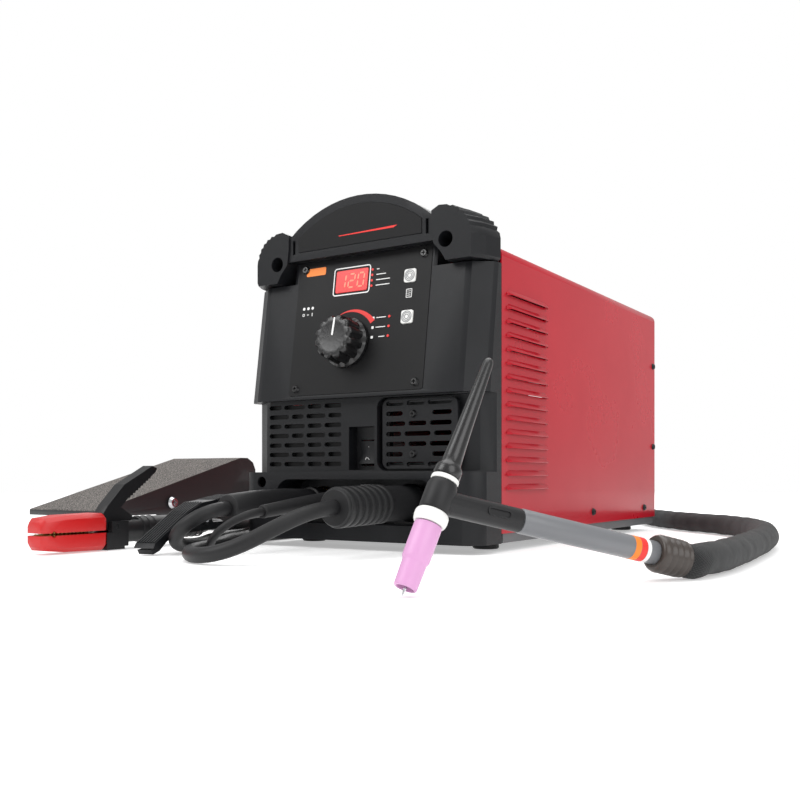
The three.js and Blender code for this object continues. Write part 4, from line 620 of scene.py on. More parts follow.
def screw_shape(tree, entry):
    """A pan head with a cross recess; its underside is at the point."""
    radius, height = entry.outputs["Radius"], entry.outputs["Height"]
    head = tree.nodes.new("GeometryNodeMeshCone")
    head.inputs["Vertices"].default_value = 20
    head.inputs["Side Segments"].default_value = 2
    tree.links.new(radius, head.inputs["Radius Bottom"])
    tree.links.new(math_node(tree, "MULTIPLY", radius, 0.72), head.inputs["Radius Top"])
    tree.links.new(height, head.inputs["Depth"])
    carve = tree.nodes.new("GeometryNodeMeshBoolean")
    carve.operation = "DIFFERENCE"
    tree.links.new(head.outputs["Mesh"], carve.inputs["Mesh 1"])
    for wide, deep in ((0.26, 1.0), (1.0, 0.26)):
        bar = tree.nodes.new("GeometryNodeMeshCube")
        scale = tree.nodes.new("ShaderNodeCombineXYZ")
        tree.links.new(math_node(tree, "MULTIPLY", radius, wide), scale.inputs["X"])
        tree.links.new(math_node(tree, "MULTIPLY", radius, deep), scale.inputs["Y"])
        tree.links.new(height, scale.inputs["Z"])
        tree.links.new(scale.outputs["Vector"], bar.inputs["Size"])
        lift = tree.nodes.new("GeometryNodeTransform")
        rise = tree.nodes.new("ShaderNodeCombineXYZ")
        tree.links.new(height, rise.inputs["Z"])
        tree.links.new(bar.outputs["Mesh"], lift.inputs["Geometry"])
        tree.links.new(rise.outputs["Vector"], lift.inputs["Translation"])
        tree.links.new(lift.outputs["Geometry"], carve.inputs["Mesh 2"])
    return carve.outputs["Mesh"]


def ridge_shape(tree, entry):
    """A rounded bar across X, for ridges and teeth."""
    bar = tree.nodes.new("GeometryNodeMeshCylinder")
    bar.inputs["Vertices"].default_value = 12
    tree.links.new(entry.outputs["Radius"], bar.inputs["Radius"])
    tree.links.new(entry.outputs["Height"], bar.inputs["Depth"])
    return bar.outputs["Mesh"]


SHAPES = {"screw_heads": screw_shape, "ridge_bars": ridge_shape}


# ---------------------------------------------------------------- routes of the leads


def spaced(points, count):
    """Evenly spaced points along a line."""
    between = [a.lerp(b, k / count) for a, b in zip(points, points[1:]) for k in range(count)]
    return between + [points[-1]]


def catmull(route, step=0.006):
    """Points on a centripetal Catmull-Rom curve through a route in millimetres from the floor."""
    points = [at(*p) for p in route]
    points = [2 * points[0] - points[1]] + points + [2 * points[-1] - points[-2]]
    path = []
    for a, b, c, d in zip(points, points[1:], points[2:], points[3:]):
        t1 = (b - a).length ** 0.5
        t2 = t1 + (c - b).length ** 0.5
        t3 = t2 + (d - c).length ** 0.5
        count = max(2, round((c - b).length / step))
        for i in range(count):
            t = t1 + (t2 - t1) * i / count
            ab = a * ((t1 - t) / t1) + b * (t / t1)
            bc = b * ((t2 - t) / (t2 - t1)) + c * ((t - t1) / (t2 - t1))
            cd = c * ((t3 - t) / (t3 - t2)) + d * ((t - t2) / (t3 - t2))
            abc = ab * ((t2 - t) / t2) + bc * (t / t2)
            bcd = bc * ((t3 - t) / (t3 - t1)) + cd * ((t - t1) / (t3 - t1))
            path.append(abc * ((t2 - t) / (t2 - t1)) + bcd * ((t - t1) / (t2 - t1)))
    path.append(points[-2])
    return path


def coil(where, thick, slots, turns, start, way, per_turn=56):
    """Turns of a lead in its coil, one in each slot: (columns from the middle, layer)."""
    x, y, middle = where
    path = []
    total = round(turns * per_turn)
    for i in range(total + 1):
        t = i / per_turn
        k = min(int(t), len(slots) - 1)
        (column, layer), (to_column, to_layer) = slots[k], slots[min(k + 1, len(slots) - 1)]
        share = min(max((t - k - 0.72) / 0.28, 0), 1)
        share = share * share * (3 - 2 * share)
        column += (to_column - column) * share
        layer += (to_layer - layer) * share
        turn = math.radians(start) + way * 2 * math.pi * t
        radius = middle + column * thick
        path.append(at(x + radius * math.cos(turn), y + radius * math.sin(turn),
                       (layer + 0.52) * thick))
    return path


def step_down(where, thick, column, layer, start, way, share, steps=30):
    """The coil's last stretch: out over the turn below and down beside it to the floor."""
    x, y, middle = where
    path = []
    for i in range(1, steps + 1):
        t = i / steps
        turn = math.radians(start) + way * 2 * math.pi * share * t
        lean = math.pi / 2 * t
        radius = middle + (column + math.sin(lean)) * thick
        height = 0.52 * thick + layer * thick * math.cos(lean)
        path.append(at(x + radius * math.cos(turn), y + radius * math.sin(turn), height))
    return path


COVER_ROUTE = [[349, -318, 12.4], [352, -290, 12], [352, -250, 12], [350, -200, 12],
               [346, -140, 12],
               [341, -80, 12], [332, -20, 12], [317, 40, 12], [296, 95, 12], [270, 142, 12],
               [240, 178, 12],
               [207, 208, 12], [174, 241, 12], [146, 275, 12], [122, 307, 12], [104, 338, 12],
               [90, 368, 12],
               [73, 397, 12], [53, 422, 12], [32, 438.5, 12], [16, 445.5, 12], [7, 446.5, 12],
               [0, 446.5, 12]]

TORCH_LEAD_ROUTE = [[55, -350.3, 43.5], [55, -358, 43.4], [54.5, -368, 42.6], [52, -383, 40],
                    [46, -398, 34.5],
                    [36, -413, 26], [23, -427, 16.5], [7, -436, 9.5], [-13, -438, 6.7],
                    [-34, -428, 6.5],
                    [-51, -410, 6.5], [-64, -388, 6.5], [-74, -366, 6.5], [-84, -346, 6.5],
                    [-95, -327, 6.5],
                    [-107, -309, 6.5], [-121, -290, 6.5], [-134, -270, 6.5], [-145, -246, 6.5],
                    [-152, -215, 6.5],
                    [-156.5, -175, 6.5], [-157.5, -120, 6.5], [-157.5, -40, 6.5], [-157.5, 60, 6.5],
                    [-160, 140, 6.5], [-169, 215, 6.5], [-183, 285, 6.5], [-190, 325, 6.5]]
CUFF_ROUTE = [[-96, 446.5, 6.8], [-84, 446.5, 6.9], [-72, 446.5, 7.2], [-58, 446.5, 7.8],
              [-46, 446.5, 9]]

WORK_LEAD_ROUTE = [[-58, -358.3, 41], [-58, -361, 41], [-58, -367, 41], [-60.9, -381, 38.7],
                   [-69, -391.2, 32.4],
                   [-80, -395, 23.8], [-91, -391.2, 15.1], [-99.1, -381, 9], [-102, -367, 6.6],
                   [-105, -351, 6.5],
                   [-112.5, -335, 6.5], [-124, -317, 6.5], [-138, -298, 6.5], [-151, -276, 6.5],
                   [-161, -250, 6.5],
                   [-167.5, -215, 6.5], [-171.3, -175, 6.5], [-172, -120, 6.5], [-172, -40, 6.5],
                   [-172, 60, 6.5],
                   [-174, 130, 6.5], [-183, 180, 6.5], [-200, 220, 6.5], [-224, 251, 6.5],
                   [-256, 270, 6.5]]
CLAMP_LEAD_ROUTE = [[-211, 336, 19.8], [-208, 315, 20], [-206, 280, 20.5], [-203, 245, 20.5],
                    [-198, 210, 20.5],
                    [-192, 175, 18], [-188, 135, 9], [-187, 100, 6.5], [-186.7, 40, 6.5],
                    [-186.5, -40, 6.5],
                    [-186.5, -110, 6.5], [-185, -140, 10], [-181, -165, 16.5], [-174, -190, 20.6],
                    [-165, -212, 21], [-156, -232, 21], [-149.7, -248.9, 20.8],
                    [-147.6, -257.3, 20.8]]

PEDAL_LEAD_ROUTE = [[-10, -366.3, 39.5], [-10, -369, 39.5], [-10, -373, 39.5],
                    [-12.9, -387.2, 37.1],
                    [-21, -397.6, 30.5], [-32, -401.4, 21.5], [-43, -397.6, 12.5],
                    [-51, -387.2, 5.9],
                    [-54.5, -373, 3.8], [-59, -357, 3.6], [-66, -339, 3.6], [-76, -322, 3.6],
                    [-88, -306, 3.6],
                    [-101, -291, 3.6], [-115, -275, 3.6], [-128, -256, 3.6], [-138, -232, 3.6],
                    [-143, -205, 3.6],
                    [-145.5, -170, 3.6], [-146, -100, 3.6], [-146, -30, 3.6], [-146, 5, 5],
                    [-148, 35, 12],
                    [-153, 64, 18.5], [-166, 88, 20], [-186, 106, 20], [-209, 121, 19],
                    [-231, 136, 12],
                    [-252, 149, 5.6], [-278, 162, 3.6], [-306, 172, 3.6]]
PEDAL_END_ROUTE = [[-412, 84, 4.2], [-412, 60, 6.8], [-412, 50, 8], [-412, 43, 8], [-412, 36.3, 8]]

HOLDER_LEAD_ROUTE = [[-198, -239.7, 18], [-198, -228, 17.8], [-199, -210, 15], [-201, -185, 10],
                     [-202, -155, 7],
                     [-202, -110, 6.5], [-202, -40, 6.5], [-203, 60, 6.5], [-206, 150, 6.5],
                     [-215, 200, 6.5],
                     [-236, 232, 6.5], [-272, 246, 6.5], [-320, 248, 6.5], [-380, 246, 6.5],
                     [-430, 255, 6.5]]
HOLDER_END_ROUTE = [[-462, 426.5, 7], [-452, 426.5, 7.2]]

# each coil's middle in X and Y, and the radius at the middle of its winding
TORCH_COIL = (-110, 352, 75)
WORK_COIL = (-290, 353, 71)
PEDAL_COIL = (-338.5, 110, 52.5)
HOLDER_COIL = (-474, 339, 68)
LEAD = 13
THIN_LEAD = 7
TWO_BY_TWO = [(0.5, 0), (-0.5, 0), (-0.5, 1), (0.5, 1)]


def serpentine(columns, layers):
    """Slots of a coil: across one layer, then back across the next."""
    row = [(columns - 1) / 2 - i for i in range(columns)]
    return [(column,
             layer) for layer in range(layers) for column in (row if layer % 2 == 0 else row[::-1])]


def smooth_joint(*parts):
    """Stretches of a lead as one line, with no doubled points and soft where they join."""
    line = [p for part in parts for p in part]
    kept = [line[0]]
    for p in line[1:]:
        if (p - kept[-1]).length > 0.0015:
            kept.append(p)
    for _ in range(6):
        kept = [kept[0]] + [(a + b * 2 + c) / 4 for a, b,
                            c in zip(kept, kept[1:], kept[2:])] + [kept[-1]]
    return kept


def cord(name, path, diameter, finish_name, replaced,
         sides=16, swell=None):
    mesh = tube(path, diameter / 2, sides, swell)
    piece = add(name, mesh, finish_name, "machine", replaced=replaced)
    return piece


# ---------------------------------------------------------------- pieces


def build_stage():
    lens = bpy.data.cameras.new("camera")
    lens.lens = 42.39
    lens.sensor_width = 36
    lens.shift_y = 0.095
    lens.clip_end = 30
    camera = linked("camera", lens)
    camera.location = (0.5257, -0.9838, 0.0622)
    camera.rotation_euler = (math.radians(90), 0, math.radians(32.6))
    bpy.context.scene.camera = camera

    shape = bmesh.new()
    bmesh.ops.create_circle(shape, cap_ends=True, segments=96, radius=3.2)
    bmesh.ops.translate(shape, vec=(0, 0, FLOOR - 0.0004), verts=shape.verts)
    mesh = bpy.data.meshes.new("floor")
    shape.to_mesh(mesh)
    shape.free()
    paper = finish("floor", (0.83, 0.83, 0.83), 0.6, 0, 0.99, 300, 0.02)
    shader = paper.node_tree.nodes["Principled BSDF"]
    shader.inputs["Emission Color"].default_value = (1, 1, 1, 1)
    shader.inputs["Emission Strength"].default_value = 0.38
    mesh.materials.append(paper)
    linked("floor", mesh)

    for name, place, aim, size, power in (
        ("key", (-1.1, -2.0, 1.9), (0, -0.2, 0.12), 1.6, 34),
        ("fill", (2.2, -1.2, 1.3), (0.1, -0.1, 0.12), 1.8, 26),
        ("top", (0.0, 0.1, 2.4), (0, 0, 0), 2.4, 40),
        ("rear", (-1.4, 2.0, 1.6), (0, 0, 0.1), 1.6, 22),
    ):
        lamp = bpy.data.lights.new(name, "AREA")
        lamp.shape = "SQUARE"
        lamp.size = size
        lamp.energy = power
        light = linked(name, lamp)
        light.location = place
        toward = Vector(aim) - Vector(place)
        light.rotation_euler = toward.to_track_quat("-Z", "Y").to_euler()

    # the surroundings are brighter to the camera than to the pieces, so they come out white
    world = bpy.data.worlds.new("studio")
    world.use_nodes = True
    tree = world.node_tree
    background = tree.nodes["Background"]
    background.inputs["Color"].default_value = (1.0, 1.0, 1.0, 1)
    seen = tree.nodes.new("ShaderNodeLightPath").outputs["Is Camera Ray"]
    tree.links.new(ranged(tree, seen, 0.0, 1.0, 0.66, 1.0), background.inputs["Strength"])
    bpy.context.scene.world = world
    bpy.context.scene.view_settings.view_transform = "Standard"


def crumple(along):
    """How much thicker or thinner the torch cover is at a place along it."""
    return 0.968 + 0.018 * math.sin(along * 190) + 0.014 * math.sin(along * 83 + 1.3)


def build_leads():
    s = sizes()
    plug = softened("holder_plug", "black_rubber", "machine", 0.0005, 45)
    cuff = softened("torch_cuff", "black_rubber", "machine", 0.0005, 45)
    tail = TORCH_HEAD + TORCH_REACH * ((TORCH_TAIL - TORCH_HEAD).length + 0.0128)
    ahead = tail + TORCH_REACH * 0.008
    lifted = [[p.x * 1000, p.y * 1000, (p.z - FLOOR) * 1000] for p in (tail, ahead)]
    cord("torch_cover_sleeve", catmull(lifted + COVER_ROUTE), s.cover, "woven_cover",
         ("torch_cover",), sides=28, swell=crumple)

    path = smooth_joint(
        catmull(TORCH_LEAD_ROUTE),
        coil(TORCH_COIL, LEAD, TWO_BY_TWO, 4, 180, -1),
        step_down(TORCH_COIL, LEAD, 0.5, 1, 180, -1, 0.25),
        catmull(CUFF_ROUTE)[2:],
    )
    cord("torch_lead_rubber", path, s.lead, "black_rubber", ("torch_lead", "torch_coil"))

    path = smooth_joint(
        catmull(WORK_LEAD_ROUTE),
        coil(WORK_COIL, LEAD, TWO_BY_TWO, 3.72, -90, -1),
        catmull(CLAMP_LEAD_ROUTE)[1:],
    )
    cord("work_lead_rubber", path, s.lead, "black_rubber",
         ("work_lead", "work_coil", "clamp_lead"))

    path = smooth_joint(
        catmull(PEDAL_LEAD_ROUTE),
        coil(PEDAL_COIL, THIN_LEAD, serpentine(5, 4), 20, 90, 1, 48),
        step_down(PEDAL_COIL, THIN_LEAD, 2, 3, 90, 1, 0.25),
        catmull(PEDAL_END_ROUTE),
    )
    cord("pedal_lead_rubber", path, s.thin_lead, "black_rubber",
         ("pedal_lead", "pedal_coil", "pedal_lead_end"), sides=12)

    path = smooth_joint(
        catmull(HOLDER_LEAD_ROUTE),
        coil(HOLDER_COIL, LEAD, TWO_BY_TWO, 4, -90, -1),
        step_down(HOLDER_COIL, LEAD, 0.5, 1, -90, -1, 0.5, 60),
        catmull(HOLDER_END_ROUTE),
    )
    cord("holder_lead_rubber", path, s.lead, "black_rubber", ("holder_lead", "holder_coil"))


MACHINE_SOFT = {
    "case_cover": ("red_paint", 0.0004), "front_bezel": ("black_moulding", 0.0011),
    "brow_handle": ("black_moulding", 0.0011),
    "name_plate": ("panel_film", 0.0002), "control_panel": ("panel_film", 0.0003),
    "vent_insert": ("black_moulding", 0.0004),
    "base_tray": ("grey_steel", 0.0004), "rear_panel": ("grey_steel", 0.0003),
    "cord_gland": ("black_rubber", 0.0004),
    "gas_inlet": ("brass", 0.0003), "work_socket": ("brass", 0.0003),
    "electrode_socket": ("brass", 0.0003),
    "remote_socket": ("bright_steel", 0.0003),
}


def build_case():
    for node, (finish_name, edge) in MACHINE_SOFT.items():
        softened(node, finish_name, "machine", edge)
    for i in range(1, 5):
        softened(f"foot_{i}", "black_rubber", "machine", 0.0005)
    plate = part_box("name_plate")
    stripe = Matrix.Translation((0.012, plate[0].y, plate[0].z + 0.0105))
    add("name_stripe", slab_mesh([(-34, -1), (30, -1), (34, 1), (-34, -0.2)], 0.15, stripe),
        "red_print", "machine")
    # a thin dark sheet behind the grille's slots: painted shade, standing for the dark inside of
    # the case seen through them
    shade_sheet_at = Matrix.Translation(at(-68, -231.4, 109))
    add("grille_shade_sheet", slab_mesh(rounded(106, 66, 3), 0.6, shade_sheet_at), "panel_film", "machine")
    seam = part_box("case_cover")[0].y
    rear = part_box("case_cover")[1].y
    side = 0.1385
    points, facings = [], []
    for sign in (-1, 1):
        for z in (0.1005, 0.2057):
            points.append((sign * side, rear - 0.008, z))
        for y in (seam + 0.229, rear - 0.044):
            points.append((sign * side, y, 0.022))
        facings += [(sign, 0, 0)] * 4
    repeated("case_screws", "screw_heads", points, facings, "black_moulding", "machine",
             sizes().screw, 0.0024)
    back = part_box("rear_panel")[1].y
    corners = [(x, back, z) for x in (-0.052, 0.052) for z in (0.09, 0.194)]
    edges = [(x, back, z) for x in (-0.125, 0.125) for z in (0.02, 0.262)]
    repeated("rear_screws", "screw_heads", corners + edges, [(0, 1, 0)] * 8, "bright_steel",
             "machine",
             sizes().screw, 0.0024)
    points = [(0.0615, -0.2351, z) for z in (0.1205, 0.083)]
    repeated("grille_screws", "screw_heads", points, [(0, -1, 0)] * 2, "knob_plastic", "machine",
             0.0038, 0.0022)


def on_panel(x, up):
    return PANEL @ (Vector((x, PANEL_FACE, up)) / 1000)


def panel_place(out=0.0):
    """The panel's own frame, moved out from its face."""
    return PANEL @ Matrix.Translation((0, (PANEL_FACE - out) / 1000, 0))


def printed(outline, depth=0.12):
    """A patch of print on the panel's face."""
    return slab_mesh(outline, depth, panel_place())


def disc(x, z, radius, count=20):
    return [(x + radius * math.cos(2 * math.pi * i / count),
             z + radius * math.sin(2 * math.pi * i / count))
            for i in range(count)]


def digit(value, x, z, width=7.0, height=13.5, bar=1.7):
    """Seven-segment digit as outlines, leaning a little."""
    lit = {"0": "abcdef", "1": "bc", "2": "abged"}[value]
    w, h, gap, slant, half = width / 2, height / 2, bar * 0.28, bar * 0.6, bar / 2

    def across(cz):
        return [(-w + gap + 0.4, cz), (-w + slant + gap, cz + half), (w - slant - gap, cz + half),
                (w - gap - 0.4, cz), (w - slant - gap, cz - half), (-w + slant + gap, cz - half)]

    def down(cx, z0, z1):
        return [(cx, z0 + gap), (cx + half, z0 + slant + gap), (cx + half, z1 - slant - gap),
                (cx, z1 - gap), (cx - half, z1 - slant - gap), (cx - half, z0 + slant + gap)]

    shapes = {"a": across(h), "g": across(0), "d": across(-h), "b": down(w, 0, h),
              "c": down(w, -h, 0), "e": down(-w, -h, 0), "f": down(-w, 0, h)}
    return [[(x + px + pz * 0.09, z + pz) for px, pz in shapes[key]] for key in lit]


def build_panel():
    softened("display_window", "red_lens", "machine", 0.0002)
    x, z = WINDOW
    digits = []
    for i, value in enumerate("120"):
        digits += [slab_mesh(outline, 0.12, panel_place(0.2))
                   for outline in digit(value, x - 11 + 11 * i, z)]
    add("display_digits", merged(digits), "lit_red", "machine")

    page_x, page_z = BUTTONS["page"]
    mode_rows = [72.4 - row * 9.5 for row in range(3)]
    value_rows = [105 + row * 5.4 for row in range(4)]
    white = [
        band_mesh(*frame_band(44, 28.5, 3.2, 1.1, x, z), 0.14, panel_place()),
        band_mesh(*frame_band(6.5, 8.5, 0.8, 0.6, page_x, page_z - 17), 0.1, panel_place()),
    ]
    white += [printed(rounded(3.8, 0.5, 0.2, page_x, page_z - 19 + row * 2)) for row in range(3)]
    for up, wide in zip(mode_rows, (11, 11, 7)):
        white.append(printed(rounded(wide, 0.8, 0.3, 32 - wide / 2, up)))
        white.append(printed(rounded(2.6, 2.6, 0.6, 17.5, up)))
    white += [printed(disc(-68.5 + column * 5.4, 89.5, 1.5)) for column in range(3)]
    white.append(band_mesh(disc(-68.5, 83, 1.5), disc(-68.5, 83, 0.9), 0.1, panel_place()))
    white.append(printed(rounded(2.4, 0.7, 0.3, -63.1, 83)))
    white.append(printed(rounded(0.8, 3.6, 0.35, -57.7, 83)))
    white += [printed(rounded(wide, 0.8, 0.3, 17 + wide / 2, up))
              for up, wide in zip(value_rows, (16, 16, 11, 3))]
    add("panel_print", merged(white), "white_print", "machine")

    lamps = [printed(disc(12.2, up, 1.25), 0.5) for up in value_rows]
    lamps += [printed(disc(36, up, 1.3), 0.5) for up in mode_rows]
    add("panel_lamps", merged(lamps), "red_print", "machine")

    arc, steps, inner = [], 24, 31
    for i in range(steps + 1):
        turn = math.radians(112 - 78 * i / steps)
        outer = inner + 0.4 + 5.2 * i / steps
        arc.append([
            panel_place(0.2) @ (Vector((KNOB[0] + r * math.cos(turn), y,
                                        KNOB[1] + r * math.sin(turn))) / 1000)
            for r, y in ((inner, 0.2), (inner, 0), (outer, 0), (outer, 0.2))
        ])
    add("output_arc", rings_mesh(arc), "red_print", "machine")
    add("corner_label", printed(rounded(24, 8, 1.6, -57, 127)), "orange_print", "machine",
        slot="red_insulator")

    points = [on_panel(px, up) for px in (-70, 70) for up in (7, 130)]
    facing = PANEL.to_3x3() @ Vector((0, -1, 0))
    repeated("panel_screws", "screw_heads", points, [facing] * 4, "knob_plastic", "machine", 0.0042,
             0.0024)


def build_knob():
    """Knob with soft scallops round it and a white pointer line."""
    axis = PANEL.to_3x3() @ Vector((0, -1, 0))
    side = PANEL.to_3x3() @ Vector((1, 0, 0))
    up = PANEL.to_3x3() @ Vector((0, 0, 1))
    origin = on_panel(*KNOB)
    count, scallops = 144, 12
    rings = []
    profile = [(24.6, 0.7, 0), (25, 1.2, 0), (25, 4.2, 0.1), (24.2, 5.2, 0.5), (22.9, 6.4, 1),
               (22.4, 12, 1),
               (21.8, 22, 1), (21.2, 23.8, 1), (19.8, 25.1, 0.9), (17.5, 25.6, 0.5), (14, 25.2, 0),
               (4, 24.9, 0), (0.02, 24.9, 0)]
    for radius, out, share in profile:
        ring = []
        for i in range(count):
            turn = 2 * math.pi * i / count
            dip = max(math.cos(turn * scallops), -0.2) + 0.2
            r = (radius - 2.6 * share * dip / 1.2) / 1000
            around = side * math.cos(turn) + up * math.sin(turn)
            ring.append(origin + axis * out / 1000 + around * r)
        rings.append(ring)
    add("knob_body", rings_mesh(rings, 32), "knob_plastic", "knob", replaced=("output_knob",))
    line = PANEL @ Matrix.Translation((KNOB[0] / 1000, (PANEL_FACE - 25) / 1000,
                                       KNOB[1] / 1000)) @ Matrix.Rotation(
        math.radians(5), 4, "Y")
    add("knob_pointer", slab_mesh(rounded(1.7, 17.5, 0.7, 0, 9.6), 0.8, line), "white_print",
        "knob",
        slot="white_plastic")


def build_buttons():
    for name, (x, z) in BUTTONS.items():
        body = name + "_key"
        softened(name + "_button", "white_plastic", body, 0.0009)
        rings = [band_mesh(disc(x, z, radius + 0.35, 32), disc(x, z, radius - 0.35, 32), 0.22,
                           panel_place(1.2))
                 for radius in (2.2, 3.8, 5.2)]
        add(name + "_rings", merged(rings), "grey_plastic", body)


def build_switch():
    softened("power_rocker", "black_moulding", "rocker", 0.0007)
    upper = Matrix.Translation(at(4, -224.6, 101)) @ Matrix.Rotation(math.radians(-6), 4, "X")
    lower = Matrix.Translation(at(4, -226.9, 86)) @ Matrix.Rotation(math.radians(22), 4, "X")
    marks = [slab_mesh(rounded(1.1, 5, 0.5), 0.2, upper),
             band_mesh(disc(0, 0, 2.6, 28), disc(0, 0, 1.8, 28), 0.2, lower)]
    add("rocker_marks", merged(marks), "white_print", "rocker", slot="white_plastic")


def upright(x, y, z, radius, count=48):
    """A circle of points in a plane across Y, in millimetres."""
    return circle(at(x, y, z), Vector((1, 0, 0)), Vector((0, 0, 1)), radius / 1000, count)


def build_plugs():
    """Boots of the two welding plugs and the remote plug with its knurled ring."""
    y, r = -219.6, 17.5
    boot = [(55, y, 45, r - 3.4), (55, y - 0.6, 45, r - 3), (55, y - 5, 45, r - 3),
            (55, y - 6, 45, r + 0.2),
            (55, y - 7, 45, r + 0.6), (55, y - 12.4, 45, r + 0.6), (55, y - 13.4, 45, r + 0.1),
            (55, y - 15, 45, r - 1),
            (55, y - 60, 45, r - 1.4)]
    ribs, pitch = 7, (y - 62 + 350) / 7
    for i in range(ribs):
        start = y - 62 - i * pitch
        z = 45 - 1.5 * i / ribs
        for share, grow in ((0, -1.4), (0.06, -0.3), (0.14, 0.1), (0.56, 0.1), (0.66, -0.3),
                            (0.72, -1.4)):
            boot.append((55, start - pitch * share, z, r + grow))
    boot += [(55, -348.6, 43.5, r - 1.4), (55, -350, 43.5, r - 2.4), (55, -350.2, 43.5, 6.6)]
    add("electrode_plug_boot", rings_mesh([upright(*station) for station in boot], 38),
        "black_rubber", "machine", replaced=("electrode_plug",))

    r = 13
    boot = [(-58, y, 45, r - 0.4), (-58, y - 0.6, 45, r), (-58, y - 12, 45, r),
            (-58, y - 12.6, 45, r + 1.2),
            (-58, y - 13.4, 45, r + 1.6), (-58, y - 18.6, 45, r + 1.6),
            (-58, y - 19.4, 45, r + 1.2),
            (-58, y - 20.2, 45, r - 0.6), (-58, y - 60, 45.6, r - 0.4),
            (-58, y - 100, 44.2, r - 0.2),
            (-58, -356, 41.2, r), (-58, -357.6, 41, r - 0.6), (-58, -358.1, 41, r - 2),
            (-58, -358.2, 41, 6.6)]
    add("work_plug_boot", rings_mesh([upright(*station) for station in boot], 38), "black_rubber",
        "machine", replaced=("work_plug",))

    y, z = -223.6, 50
    sleeve = [(0, y, z, 7), (0, y - 28, z, 7), (0, y - 28.6, z, 9.2), (-0.3, y - 34, z, 9.4),
              (-0.6, y - 40, z, 9.4),
              (-1, y - 42, z - 0.4, 7.4), (-2.4, y - 66, z - 2, 7), (-5, y - 104, z - 5.6, 6.4),
              (-9.9, -365.4, 39.6, 5.8), (-10, -366.1, 39.5, 5)]
    add("remote_plug_sleeve", rings_mesh([upright(*station) for station in sleeve], 38),
        "black_rubber", "machine", replaced=("remote_plug",))
    count, bore, rings = 96, 7.3, []
    for out, radius, knurled in (
        (0, 9.2, False), (0.6, 10, False), (5, 10, False), (6, 9, False), (8, 9, False),
        (9, 9.8, False),
        (9.4, 10, True), (19.6, 10, True), (20.2, 9.8, False), (22, 9, False), (25.4, 9, False),
        (26, 8.6, False), (26, bore, False), (0, bore, False),
    ):
        ring = upright(0, -224.1 - out, z, radius, count)
        if knurled:
            ring[1::2] = upright(0, -224.1 - out, z, radius - 0.45, count)[1::2]
        rings.append(ring)
    add("remote_ring", rings_mesh(rings, 30, looped=True), "bright_steel", "machine",
        replaced=("remote_plug_ring",))


